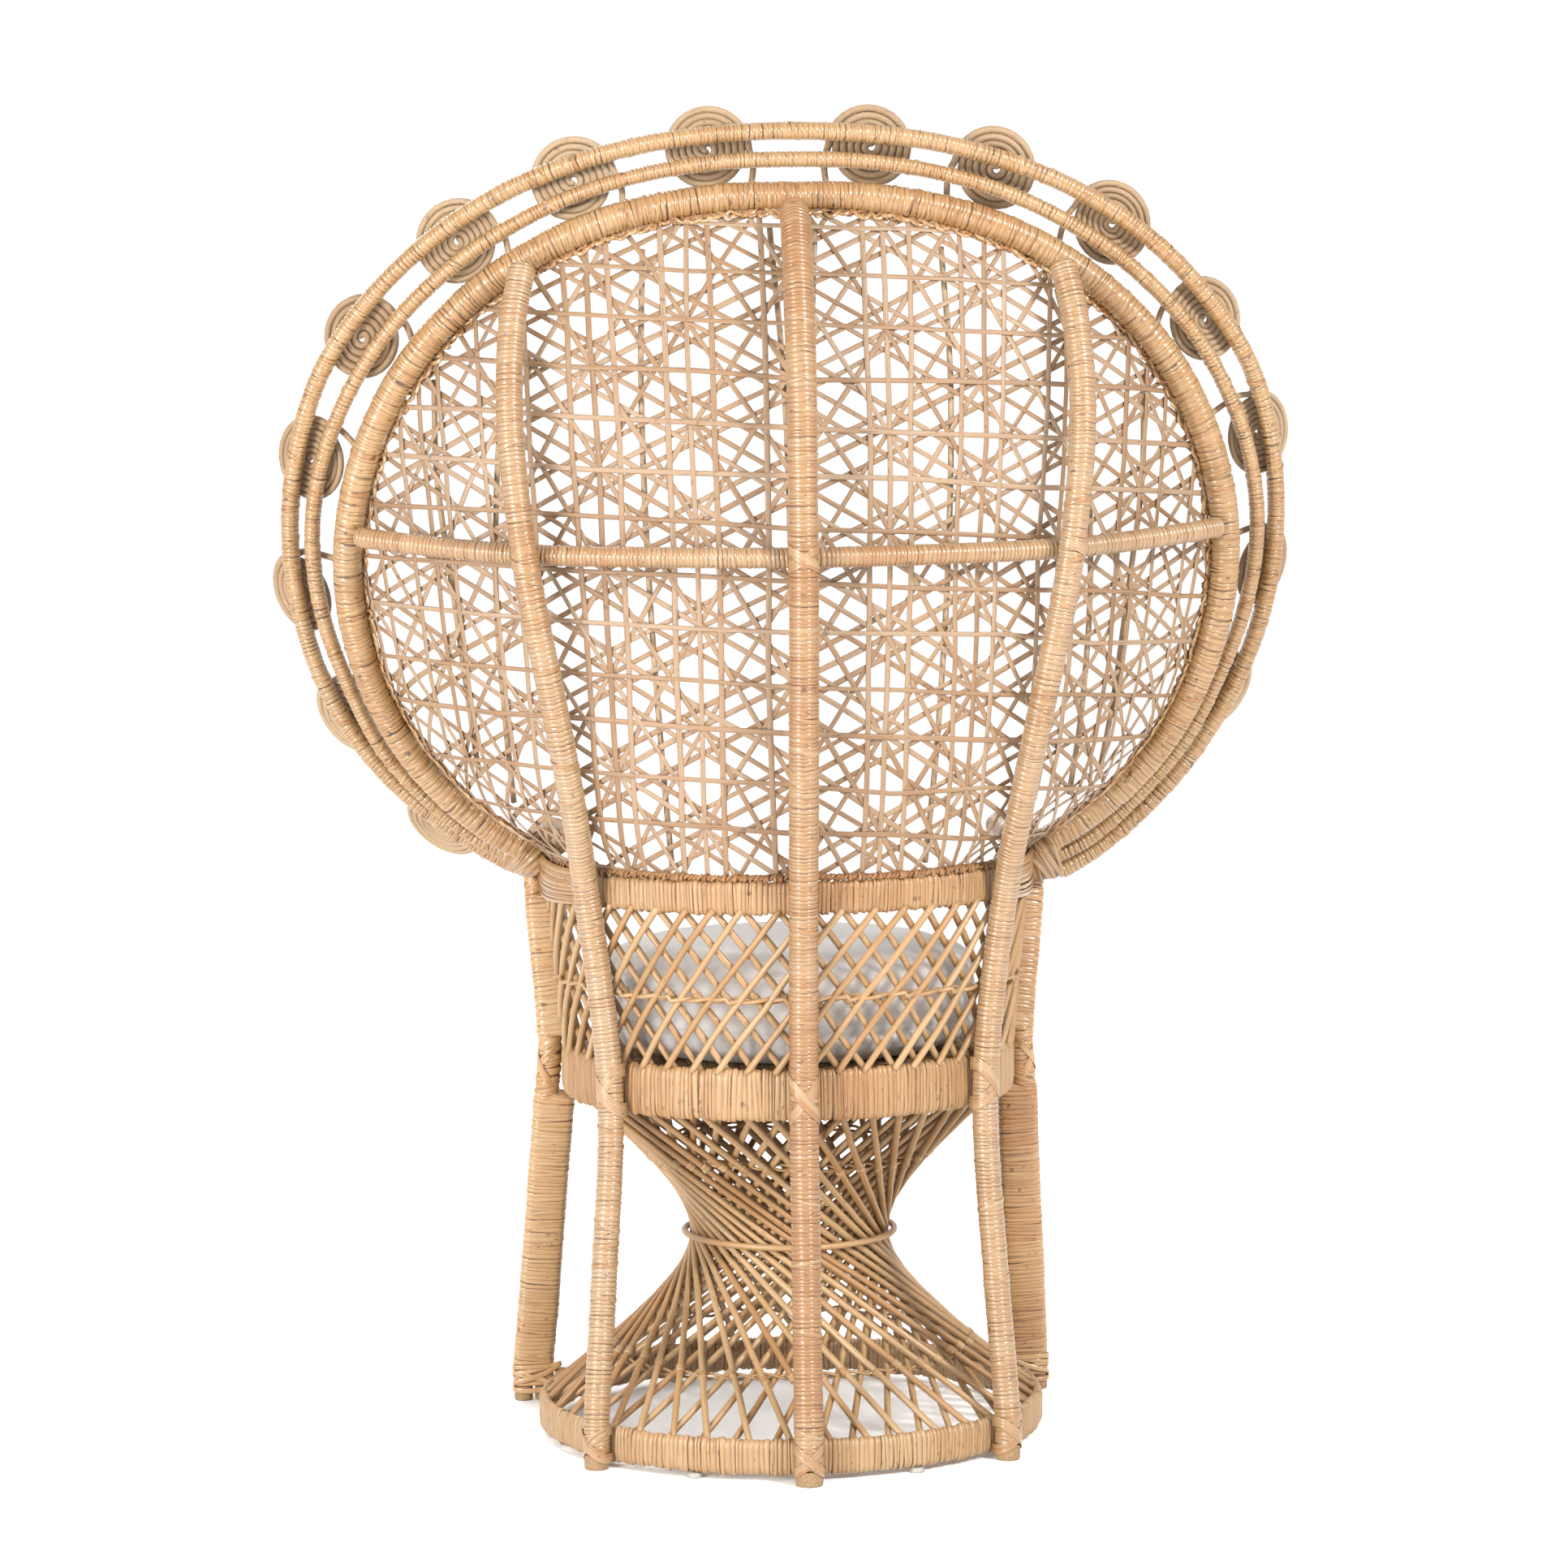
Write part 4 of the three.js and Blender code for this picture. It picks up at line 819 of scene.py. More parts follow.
for side, s in (("left", 1), ("right", -1)):
    h = Heap()
    leg = curve(LEG)[::-1]
    for k, (z0, z1, caps) in enumerate(((16.4, 374.6, (0.8, 5)), (433, 594.4, (4, 3)))):
        line = (part_of(leg, z0, z1) - [LEG_STEP / 2, 0, 0]) * [s, 1, 1]
        # painted light on the left leg and painted shade on the right: the left leg's strips get paler tones than the
        # right leg's
        wrapped(h, line, pitch=5.0, seed=50 + k + (5 if s > 0 else 0), ref=(1, 0, 0), section=PAIR, caps=caps, tone=(0.0, 0.6) if s > 0 else (0.3, 0.95), slow=(0.0, 0.6) if s > 0 else (0.25, 1.0), slow_step=50, vary=0.2, deep=0.2, tilt=0.05, wave=0.3)
    for z0, z1, wide in ((366, 442, 2.6), (588, 631.6, 0.0)):
        line = (part_of(leg, z0, z1) - [wide, 0, 0]) * [s, 1, 1]
        cx, cy, nx, ny = circle_section(20)
        wrapped(h, line, pitch=4.4, seed=60 + int(z0) + s, ref=(1, 0, 0), section=(cx * (LEG_ROD_R - 0.5 + wide), cy * (LEG_ROD_R - 0.4), nx, ny), caps=(2, 3), tone=(0.2, 0.8), slow=(0.2, 0.9), deep=0.3, tilt=0.16, lean=(-0.12 * s, 0.0))
    h.make(f"leg_{side}_bound", WRAP_LEG_PAINTED_LIGHT, "wrapped_cane", [f"leg_{side}_outer_rod", f"leg_{side}_inner_rod", f"leg_{side}_upper_rod"])
    h = Heap()
    wrapped(h, np.array([[231.6, -161, 30], [245, -161, 30], [258, -161, 30]], float) * [s, 1, 1], 7.3, 4.6, seed=66, ref=(0, 0, 1), n=16, caps=(0.5, 0.5), tone=(0.2, 0.9))
    rng = np.random.default_rng(460 + s)
    y1 = LEG[-1][1] + LEG_ROD_R
    for i, (z_in, z_out, z_end) in enumerate(((43, 33, 29), (42, 24, 17), (40, 39, 38), (16, 30, 36), (11, 12, 15))):
        x_in = (250, 252, 255, 259, 262)[i]
        p = np.array([[x_in, y1 + 1.0 - 2 * (i < 3), z_in], [269, y1 + 1.1, (z_in + z_out) / 2 + rng.normal(0, 1)], [293, y1 + 1.1, z_out], [302, y1 - 2.6, (z_out * 0.7 + z_end * 0.3)], [305.2, y1 - 9.5, z_end], [302, y1 - 18.5, z_end - 1]], float)
        p[1:, 1] += 0.5 * (i % 3)
        nrm = np.array([[0, 1, 0.2], [0, 1, 0], [0.15, 1, 0], [0.75, 0.65, 0], [1, 0, 0], [0.75, -0.65, 0]], float)
        line = curve(p, 5)
        nn = np.stack([np.interp(np.linspace(0, 5, len(line)), np.arange(6), nrm[:, k]) for k in range(3)], 1)
        ribbon(h, line * [s, 1, 1], nn * [s, 1, 1], 5.6 * rng.uniform(0.85, 1.1), 0.9, tone=rng.random(), slow=rng.uniform(0.1, 0.8), uoff=rng.random() * 900)
    h.make(f"leg_tie_{side}_bound", WRAP_LEG_PAINTED_LIGHT, "wrapped_cane", [f"leg_tie_{side}"])

# ---- feet and glides
def foot_end(h, x, y, r, m=28):
    zz = np.array([0.0, 0.5, 1.6, 4, 8, 12, 15, FOOT_H])
    rr = r * np.array([0.86, 0.93, 0.97, 0.985, 0.99, 0.985, 0.99, 0.96])
    tube(h, np.stack([np.full(8, float(x)), np.full(8, float(y)), zz], 1), rr, n=m, ref=(1, 0, 0), caps=False)
    cap = np.array([[x, y, 0.0], [x, y, FOOT_H]])
    h.add(cap, t=np.vstack([np.stack([np.full(m, 0), -8 * m + (np.arange(m) + 1) % m, -8 * m + np.arange(m)], 1), np.stack([np.full(m, 1), -m + np.arange(m), -m + (np.arange(m) + 1) % m], 1)]), c=(0.5, 0, 0.5))


for name, x, y, r in (("centre", 0, POST_CENTRE[0][1], POST_R - 0.6), ("left", POST_SIDE[0][0], POST_SIDE[0][1], SIDE_POST_R - 0.6), ("right", -POST_SIDE[0][0], POST_SIDE[0][1], SIDE_POST_R - 0.6)):
    h = Heap()
    foot_end(h, x, y, r)
    h.make(f"foot_{name}_end", END, "end_grain", [f"foot_cap_{name}"])
for side, s in (("left", 1), ("right", -1)):
    h = Heap()
    foot_end(h, s * LEG[-1][0], LEG[-1][1], 10.6)
    foot_end(h, s * (LEG[-1][0] - LEG_STEP), LEG[-1][1], 10.6)
    h.make(f"foot_front_{side}_end", END, "end_grain", [f"foot_cap_front_{side}"])
for name, sx, sy in (("rear_left", 1, 1), ("rear_right", -1, 1), ("front_left", 1, -1), ("front_right", -1, -1)):
    h = Heap()
    prof = np.array([[6.4, 0.05], [7.3, 0.25], [7.9, 0.9], [8.0, 1.9], [7.8, 3.4], [7.2, 4.7], [6.6, 5.4], [6.2, 5.6]])
    tube(h, np.stack([np.full(8, sx * 117.5), np.full(8, sy * 244.2), prof[:, 1]], 1), prof[:, 0], n=28, ref=(1, 0, 0), caps=False)
    m = 28
    cap = np.array([[sx * 117.5, sy * 244.2, 0.0], [sx * 117.5, sy * 244.2, 5.6]])
    h.add(cap, t=np.vstack([np.stack([np.full(m, 0), -8 * m + (np.arange(m) + 1) % m, -8 * m + np.arange(m)], 1), np.stack([np.full(m, 1), -m + np.arange(m), -m + (np.arange(m) + 1) % m], 1)]), c=(0.5, 0, 0.5))
    h.make(f"glide_{name}_moulded", PLASTIC, "glide_plastic", [f"glide_{name}"])

# ---- the hourglass base
N_SKIRT, SKIRT_R, SKIRT_PHASE = 40, 3.6, math.radians(0.8)


def skirt_line(phi, turn, side, z):
    """A stick's centre line: side is 1 for the outer layer and -1 for the inner."""
    p = skirt_point(phi, z, turn)
    d = WAIST_RING_Z - z
    k = np.where(d > 0, TAN_DOWN, TAN_UP)
    r = np.hypot(p[:, 0], p[:, 1])
    n = unit(np.stack([p[:, 0] / r, p[:, 1] / r, k ** 2 * d / r], 1))
    return p + n * (side * (SKIRT_R + 0.05) - 2.2), n


rng = np.random.default_rng(80)
zz = np.linspace(383, 37, 47)
zz = np.where(np.abs(zz - WAIST_RING_Z) < 3.8, WAIST_RING_Z, zz)
rows = (308.0, 96.0)
JITTER = rng.normal(0, 0.013, (2, N_SKIRT))
for fam, (turn, side) in enumerate(((1, 1), (-1, -1))):
    h = Heap()
    for i in range(N_SKIRT):
        phi = SKIRT_PHASE + 2 * np.pi * (i + 0.5 * fam) / N_SKIRT + JITTER[fam, i]
        line, nn = skirt_line(phi, turn, side, zz)
        wob = np.cumsum(rng.normal(0, 0.22, (len(zz), 1)), 0)
        wob -= np.linspace(wob[0], wob[-1], len(zz))
        line = line + wob * np.cross(unit(np.gradient(line, axis=0)), nn)
        tube(h, line, SKIRT_R * (0.96 + 0.08 * rng.random()), n=10, ref=(0, 0, 1), tone=rng.random(), slow=rng.uniform(0.0, 0.9), uoff=rng.random() * 900)
    h.make(("skirt_sticks_outer", "skirt_sticks_inner")[fam], STICK, "cane_stick", ["base_skirt"] if fam == 0 else ())
# the two twined rows: a wrap on every crossing stick and a strand from one to the next
h = Heap()
rng = np.random.default_rng(81)
for zr in rows:
    for i in range(N_SKIRT):
        phi = SKIRT_PHASE + 2 * np.pi * i / N_SKIRT + JITTER[0, i]
        z0 = zr + rng.normal(0, 1.6) + 2.5 * math.sin(phi * 3 + zr)
        zs = z0 + np.linspace(2.9, -2.9, 9)
        line, nn = skirt_line(phi, 1, 1, zs)
        line = line - nn * 0.3
        # painted shade: each wrap's ends and the hollows between its turns are darkened
        tube(h, line, np.array([3.5, 4.6, 4.9, 4.4, 4.9, 4.4, 4.9, 4.6, 3.5]), n=12, ref=(0, 0, 1), tone=rng.random(), slow=rng.uniform(0.1, 0.7), dark=np.array([0.5, 0, 0, 0.4, 0, 0.4, 0, 0, 0.5]))
    for strand in (0, 1):
        m = N_SKIRT * 8
        a = np.linspace(0, 2 * np.pi, m + 1)
        d = WAIST_RING_Z - zr
        k = TAN_DOWN if d > 0 else TAN_UP
        r = math.hypot(WAIST_R, k * d)
        dr = -k * k * d / r
        n = np.array([1, -dr]) / math.hypot(1, dr)
        off = (2.4 * np.cos(a * N_SKIRT / 2 + math.pi * strand)) - 4.6
        zrow = zr + 2.6 * np.sin(a * N_SKIRT / 2 + math.pi * strand) + 2.5 * np.sin(a * 3 + zr)
        line = np.stack([(r + off * n[0]) * np.sin(a), (r + off * n[0]) * np.cos(a), zrow + off * n[1]], 1)
        tube(h, line, 1.7, n=7, ref=(0, 0, 1), tone=0.4 + 0.3 * strand, slow=0.5)
h.make("skirt_twining", STICK, "cane_stick")
# the loose ring, whose two ends lie side by side
h = Heap()
a = np.linspace(math.radians(126), math.radians(126 + 373), 181)
t = np.linspace(0, 1, 181)
lap = 3.4 * (np.clip((t - 0.93) / 0.04, 0, 1) - np.clip((0.07 - t) / 0.04, 0, 1)) * 0.5
r = 115.2 + lap + 0.3 * np.sin(3 * a)
tube(h, np.stack([r * np.cos(a), r * np.sin(a), WAIST_RING_Z + 0.8 * np.sin(2 * a + 1) + lap * 0.4], 1), np.where((t < 0.012) | (t > 0.988), 2.4, WAIST_ROD_R - 0.2), n=12, ref=(0, 0, 1), tone=0.5, slow=0.55)
h.make("waist_ring_rod", STICK, "cane_stick", ["waist_ring"])

# ---- the tub lattice
LAT_Z = (427.0, 601.0)
TWINE_Z = 506.0


def tub(a, z, off):
    v = (z - 432) / (594.8 - 432)
    rx, ry = SEAT_RING_R + (ARM_HALF - SEAT_RING_R) * v + off, SEAT_RING_R + (ARM_REAR - SEAT_RING_R) * v + off
    return np.stack([rx * np.cos(a), ry * np.sin(a), z], -1)


def lattice_angle(a0, z, turn):
    t = np.where(z < TWINE_Z, (z - TWINE_Z) * math.tan(math.radians(37)), (z - TWINE_Z) * math.tan(math.radians(38.5)))
    w = np.interp(z, (431, TWINE_Z, 596), (0.0, 0.012, 0.03))
    a = a0 + turn * t / 250.0
    return a + w * np.sin(2 * (a0 - math.pi / 2))


rng = np.random.default_rng(90)
N_LAT = 25
zz = np.linspace(*LAT_Z, 30)
for fam, (turn, off) in enumerate(((1, 3.3), (-1, -3.4))):
    h = Heap()
    for i in range(-4, N_LAT + 5):
        a0 = math.pi * (i + 0.5 * (1 + fam)) / N_LAT + rng.normal(0, 0.006)
        a = lattice_angle(a0, zz, turn) + np.interp(zz, np.linspace(*LAT_Z, 6), rng.normal(0, 0.004, 6))
        keep = (a > 0.035) & (a < math.pi - 0.035)
        if keep.sum() < 4:
            continue
        bend = 1.2 * np.exp(-((zz - TWINE_Z) / 16) ** 2) * (-1 if fam == 0 else 1)
        # painted shade: the inner layer of sticks, behind the outer one, is given deeper tones
        tube(h, tub(a, zz, off + bend)[keep], 3.7 * (0.95 + 0.1 * rng.random()), n=10, ref=(0, 0, 1), tone=rng.random(), slow=rng.uniform(0.0, 0.5) + 0.35 * fam, uoff=rng.random() * 900)
    h.make(("tub_sticks_outer", "tub_sticks_inner")[fam], STICK, "cane_stick", ["seat_lattice"] if fam == 0 else ())
h = Heap()
for strand in (0, 1):
    m = N_LAT * 12
    a = np.linspace(0.04, math.pi - 0.04, m + 1)
    ph = a / math.pi * N_LAT * 2 * math.pi / 2 + math.pi * strand
    saw = ((a / math.pi * N_LAT + 0.5 * strand) % 1.0)
    line = tub(a, TWINE_Z + 5.0 * (saw - 0.5) + 1.2 * np.sin(a * 4), 6.6 * np.cos(ph) + 1.0)
    tube(h, line, 2.3, n=8, ref=(0, 0, 1), tone=0.35 + 0.3 * strand, slow=0.35)
for i in range(N_LAT):
    a0 = math.pi * (i + 1.0) / N_LAT
    zs = TWINE_Z + np.linspace(-4.5, 4.5, 7)
    a = lattice_angle(a0 if i % 2 else a0, zs, -1)
    if a.min() > 0.05 and a.max() < math.pi - 0.05:
        # painted shade: each wrap's ends and the hollows between its turns are darkened
        tube(h, tub(a, zs, -2.4), np.array([3.7, 4.9, 4.5, 5.0, 4.5, 4.9, 3.7]), n=12, ref=(0, 0, 1), tone=rng.random(), slow=0.5, dark=np.array([0.5, 0, 0.35, 0, 0.35, 0, 0.5]))
h.make("tub_twining", STICK, "cane_stick")

# ---- the seat deck: flat strips woven over and under
h = Heap()
rng = np.random.default_rng(95)
step = 11.0
zc = DECK_Z[1] - 3.4
for fam in (0, 1):
    for i in range(-20, 21):
        o = i * step + rng.normal(0, 0.4)
        half = math.sqrt(max(0.0, (DECK_R - 6) ** 2 - o * o))
        if half < 30:
            continue
        t = np.arange(-half, half + 1e-6, step / 2)
        up = 1.05 * np.cos(math.pi * (t / step + i + fam))
        x, y = (t, np.full_like(t, o)) if fam == 0 else (np.full_like(t, o), t)
        ribbon(h, np.stack([x, y, zc + up], 1), (0, 0, 1), 8.6, 1.3, tone=rng.random(), slow=rng.uniform(0.2, 0.9), uoff=rng.random() * 900)
h.make("seat_deck_weave", DECK, "cane_strip", ["seat_deck"])
h = Heap()
tube(h, circle(DECK_R - 5.2, DECK_Z[0] + 4.6, 241), 4.2, n=10, ref=(0, 0, 1), caps=False, tone=0.5, slow=0.6)
h.make("seat_deck_hoop", DECK, "cane_strip")

# ---- the star weave
SHEET = Sheet(fan=0.2)
A1, A2, P0, Q0 = np.array([98.5, 58.55]), np.array([0.0, 106.3]), 8.0, 187.0
OUTLINE = curve(whole(HOOPS[0]))
OUTLINE = at(OUTLINE, np.linspace(0, arc(OUTLINE)[-1], 400))
OUT2 = OUTLINE[:, [0, 2]]


def inset_poly(inset, bottom):
    t = unit(np.gradient(OUT2, axis=0))
    n = np.stack([-t[:, 1], t[:, 0]], 1)
    n *= np.sign(((np.array([0, 950]) - OUT2) * n).sum(1, keepdims=True))
    p = OUT2 + n * inset
    p = p[p[:, 1] > bottom]
    return np.vstack([[[p[0, 0], bottom]], p, [[p[-1, 0], bottom]]])


def inside(poly, x, z):
    x0, z0 = poly[:, 0], poly[:, 1]
    x1, z1 = np.roll(x0, -1), np.roll(z0, -1)
    c = ((z0[None] > z[:, None]) != (z1[None] > z[:, None])) & (x[:, None] < (x1 - x0)[None] * (z[:, None] - z0[None]) / np.where(z1 == z0, 1e-9, z1 - z0)[None] + x0[None])
    return c.sum(1) % 2 == 1


WEB_POLY = inset_poly(HOOP_R[0] - 3.5, 634.5)
# direction in lattice steps, offsets of its strips from the star centres, width, layer from the rear
FAMILIES = [
    ("vertical", (0, 1), (-23.5, 0.0, 23.5), 5.9, 1),
    ("rising", (1, 0), (-20.5, 0.0, 20.5), 5.6, 3),
    ("falling", (1, -1), (-20.5, 0.0, 20.5), 5.6, 5),
    ("level", (2, -1), (0.0,), 5.4, 0),
    ("steep_rising", (1, 1), (0.0,), 5.4, 2),
    ("steep_falling", (1, -2), (0.0,), 5.4, 4),
]
web = {"web_ribs": Heap(), "web_diagonals": Heap(), "web_stars": Heap()}
ENDS = []
rng = np.random.default_rng(101)
for f, (label, (da, db), offsets, width, layer) in enumerate(FAMILIES):
    d = A1 * da + A2 * db
    d = d / np.linalg.norm(d)
    nrm = np.array([-d[1], d[0]])
    spacing = abs(A1[0] * A2[1] - A1[1] * A2[0]) / np.linalg.norm(A1 * da + A2 * db)
    heap = web["web_ribs" if f == 0 else ("web_diagonals" if f < 3 else "web_stars")]
    o0 = np.array([P0, Q0]) @ nrm
    for i in range(-14, 15):
        for off in offsets:
            o = o0 + i * spacing + off + rng.normal(0, 1.5)
            t = np.arange(-900, 901, 3.0)
            wav = np.interp(t, np.arange(-920, 921, 115), rng.normal(0, 1.5, 17))
            p = nrm[0] * (o + wav) + d[0] * t
            q = nrm[1] * (o + wav) + d[1] * t
            q = q + np.maximum(0, q - 250) * 0.08
            ok = (q > -345) & (q < 410) & (np.abs(p) < 640)
            if ok.sum() < 5:
                continue
            x, z = SHEET.xz(p[ok], q[ok])
            t = t[ok]
            x = x + 0.0 * z
            ok = inside(WEB_POLY, x, z)
            idx = np.where(ok)[0]
            if len(idx) < 4:
                continue
            for run in np.split(idx, np.where(np.diff(idx) > 1)[0] + 1):
                if len(run) < 6:
                    continue
                lo, hi = max(run[0] - 1, 0), min(run[-1] + 1, len(x) - 1)
                sel = np.unique(np.concatenate([[lo], run[::3], [hi]]))
                xs, zs, ts = x[sel], z[sel], t[sel]
                nn = web_normal(xs, zs)
                lift = (2.5 - layer) * 0.62 + 0.75 * np.sin(ts * 2 * np.pi / 107 + i * np.pi + f * 1.3 + off)
                pos = np.stack([xs, web_y(xs, zs), zs], 1) - nn * (lift[:, None] - 1.0)
                ribbon(heap, pos, -nn, width * rng.uniform(0.86, 1.1), 0.8, tone=rng.random(), slow=rng.uniform(0, 1) * 0.8, uoff=rng.random() * 900)
                ENDS += [pos[0], pos[-1]]
for name, heap in web.items():
    heap.make(name, STRIP, "cane_strip", ["fan_web"] if name == "web_ribs" else ())

# the edge of the weave: two twined strands along the inner hoop and along the arm band
h = Heap()
rng = np.random.default_rng(102)
EDGE = inset_poly(HOOP_R[0] + 2.4, 640)
EDGE = EDGE[1:-1]
el = np.concatenate([[0], np.cumsum(np.hypot(*np.diff(EDGE, axis=0).T))])
s = np.arange(2, el[-1] - 2, 2.6)
ex, ez = np.interp(s, el, EDGE[:, 0]), np.interp(s, el, EDGE[:, 1])
n3 = web_normal(ex, ez)
base = np.stack([ex, web_y(ex, ez), ez], 1)
tg = unit(np.gradient(base, axis=0))
across = np.cross(n3, tg)
for strand in (0, 1):
    ph = s * 2 * np.pi / 26 + np.pi * strand + 0.8 * np.interp(s, np.arange(0, el[-1] + 60, 50), rng.normal(0, 1, len(np.arange(0, el[-1] + 60, 50))))
    line = base + n3 * (2.2 * np.cos(ph))[:, None] + across * (1.5 * np.sin(ph) + np.interp(s, np.arange(0, el[-1] + 40, 35), rng.normal(0, 0.9, len(np.arange(0, el[-1] + 40, 35)))))[:, None]
    tube(h, line, 1.55 + 0.3 * np.sin(s / 9 + strand), n=7, ref=(0, 1, 0), tone=0.3 + 0.4 * strand, slow=0.5)
# a small loop of peel round every strip's end
for e in ENDS:
    k = int(np.argmin(((base - e) ** 2).sum(1)))
    if np.linalg.norm(base[k] - e) > 14:
        continue
    r = 2.6 * rng.uniform(0.8, 1.25)
    c = base[k] + across[k] * rng.normal(0, 1.2)
    b = np.linspace(-0.3, np.pi * 1.9, 11)
    outw = -across[k] if (across[k] @ (c - np.array([0, c[1], 950]))) < 0 else across[k]
    loop = c + n3[k] * (np.cos(b) * r * 1.3)[:, None] + tg[k] * (np.sin(b) * r * 0.5 + np.linspace(-2, 2, 11))[:, None] + outw * (np.sin(b) * r)[:, None]
    ribbon(h, loop, unit(loop - c), 3.4 * rng.uniform(0.8, 1.2), 1.0, tone=rng.random(), slow=rng.uniform(0.3, 1.0), dark=0.05)
h.make("web_edge_lacing", LACE, "cane_strip")
# peel ends that come out from under the thick hoop, run along its edge and tuck in again
h = Heap()
rng = np.random.default_rng(103)
bs = arc(base)
s0 = 8.0
while s0 < bs[-1] - 34:
    u = np.linspace(0, 1, 11)
    run = rng.uniform(13, 27)
    kk = np.interp(s0 + u * run, bs, np.arange(len(base)))
    i = kk.astype(int)
    outw = across[i] * np.where((across[i] * (base[i] - np.array([0, 300, 950]))).sum(1) < 0, -1, 1)[:, None]
    skew = np.sin(np.pi * u ** rng.uniform(0.6, 1.7))
    rise = rng.uniform(6.5, 12.5)
    p = at(base, s0 + u * run) - outw * (rise * skew - 5.0)[:, None] - n3[i] * (1.2 + rng.uniform(1.0, 2.6) * np.sin(np.pi * u))[:, None]
    # painted shade: each strip darkens towards both ends, where it tucks in under the thick hoop
    ribbon(h, p, unit(-n3[i] * 0.8 - outw * 0.4), rng.uniform(3.0, 4.8), 1.0, tone=rng.random(), slow=rng.uniform(0.0, 0.8), dark=np.interp(u, (0, 0.15, 0.85, 1), (0.8, 0.0, 0.0, 0.8)), uoff=rng.random() * 900)
    s0 += rng.uniform(7, 15)
h.make("web_edge_loops", WRAP_HOOP, "wrapped_cane")
h = Heap()
# the braided row on top of the arm band
m = 430
a = np.linspace(0.015, np.pi - 0.015, m)
for strand in range(3):
    ph = np.linspace(0, 2 * np.pi * 52, m) + 2 * np.pi * strand / 3 + 0.6 * np.interp(a, np.linspace(0, np.pi, 24), rng.normal(0, 1, 24))
    r = 0.0 + 3.4 * np.cos(ph)
    zz = ARM_RING_Z[1] + 3.0 + 2.0 * np.sin(2 * ph) + 0.7 * np.sin(a * 9)
    line = np.stack([(ARM_HALF + r) * np.cos(a), (ARM_REAR + r) * np.sin(a), zz], 1)
    tube(h, line, 2.1, n=7, ref=(0, 0, 1), tone=0.25 + 0.25 * strand, slow=0.6)
for e in ENDS:
    if e[2] > 650 or e[1] < 20:
        continue
    aa = math.atan2(e[1] / ARM_REAR, e[0] / ARM_HALF)
    out = np.array([math.cos(aa), math.sin(aa), 0])
    c = np.array([ARM_HALF * math.cos(aa), ARM_REAR * math.sin(aa), ARM_RING_Z[1] + 2.6])
    tgn = np.array([-math.sin(aa), math.cos(aa), 0])
    b = np.linspace(-0.7, np.pi + 0.7, 11)
    loop = c + out * (np.cos(b) * 6.7)[:, None] + np.array([0, 0, 1]) * (np.sin(b) * 4.6 - 0.6)[:, None] + tgn * np.linspace(-1.6, 1.6, 11)[:, None]
    ribbon(h, loop, unit(loop - c), 4.2 * rng.uniform(0.8, 1.15), 1.1, tone=rng.random(), slow=rng.uniform(0.3, 1.0))
h.make("arm_band_braid", LACE, "cane_strip")


# ---- coiled discs with their stems
def coil(heap, row, s, seed):
    rng = np.random.default_rng(seed)
    centre, n, along_, foot = disc_frame(row)
    e1 = unit(along_ - n * (along_ @ n))
    e2 = np.cross(n, e1)
    f = foot - centre
    f2 = np.array([f @ e1, f @ e2])
    dist = np.linalg.norm(f2)
    turns = rng.choice([5.4, 5.8, 6.2, 6.4, 6.8])
    rod = 47.4 / (2 * turns + 1.62)
    R = 47.4 - rod
    best = None
    for sg in (1, -1):
        b = math.atan2(f2[1], f2[0]) + sg * math.acos(min(0.93, R / dist) if dist > 1 else 0.9)
        p = centre + e1 * R * math.cos(b) + e2 * R * math.sin(b)
        if best is None or p @ along_ > best[0]:
            best = (p @ along_, b, sg)
    _, b_end, sg = best
    m = int(turns * 30)
    t = np.linspace(0, 1, m)
    ang = b_end + sg * turns * 2 * np.pi * (1 - t)
    # the coil runs so that its last turn heads for the stem's foot
    rad = 0.62 * rod + (R - 0.62 * rod) * t + np.interp(t, np.linspace(0, 1, 14), rng.normal(0, 0.16, 14))
    flat = np.interp(t, np.linspace(0, 1, 20), rng.normal(0, 0.35, 20))
    line = centre + e1 * (rad * np.cos(ang))[:, None] + e2 * (rad * np.sin(ang))[:, None] + n * flat[:, None]
    over = foot + np.array([0, -(HOOP_R[0] + STEM_R + 1.6), 0])
    dirn = unit(line[-1] - line[-3])
    reach = np.linalg.norm(over - line[-1])
    mid = line[-1] + dirn * min(reach * 0.4, 18)
    tail = curve(np.array([line[-1], mid, over]), 8)[1:]
    line = np.vstack([line, tail])
    rr = np.concatenate([np.interp(t, [0, 0.02, 1], [rod * 0.8, rod * 1.04, rod * 1.07]), np.linspace(rod, min(rod, 3.2), len(tail))])
    # painted shade on the rod's sides, in the crevices where the coil's turns press together
    tube(heap, line * [s, 1, 1], rr, n=9, ref=n * [s, 1, 1], tone=rng.random(), slow=rng.uniform(0.2, 0.9), uoff=rng.random() * 900, flank_shade=0.5)


for i in range(8):
    for side, s, row in (("left", 1, DISCS_LEFT[i]), ("right", -1, DISCS_RIGHT[i])):
        h = Heap()
        coil(h, row, s, 200 + i * 2 + (s > 0))
        h.make(f"coil_{side}_{i + 1}", CORE, "cane_core", [f"spiral_{side}_{i + 1}"])
for i, row in enumerate(STAYS):
    for side, s in (("left", 1), ("right", -1)):
        h = Heap()
        row_ = np.array(row, float)
        x, z = row_[:, 0], row_[:, 1]
        nn = web_normal(x, z)
        pts = np.stack([x, web_y(x, z), z], 1) + nn * (WEB_T / 2 + STEM_R + 3.8)
        line = curve(pts * [s, 1, 1], 8)
        tube(h, line, STEM_R - 0.2, n=9, ref=(0, 1, 0), tone=0.3 + 0.1 * i, slow=0.5, uoff=i * 50.0)
        h.make(f"stay_{side}_{i + 1}_rod", CORE, "cane_core", [f"stay_{side}_{i + 1}"])


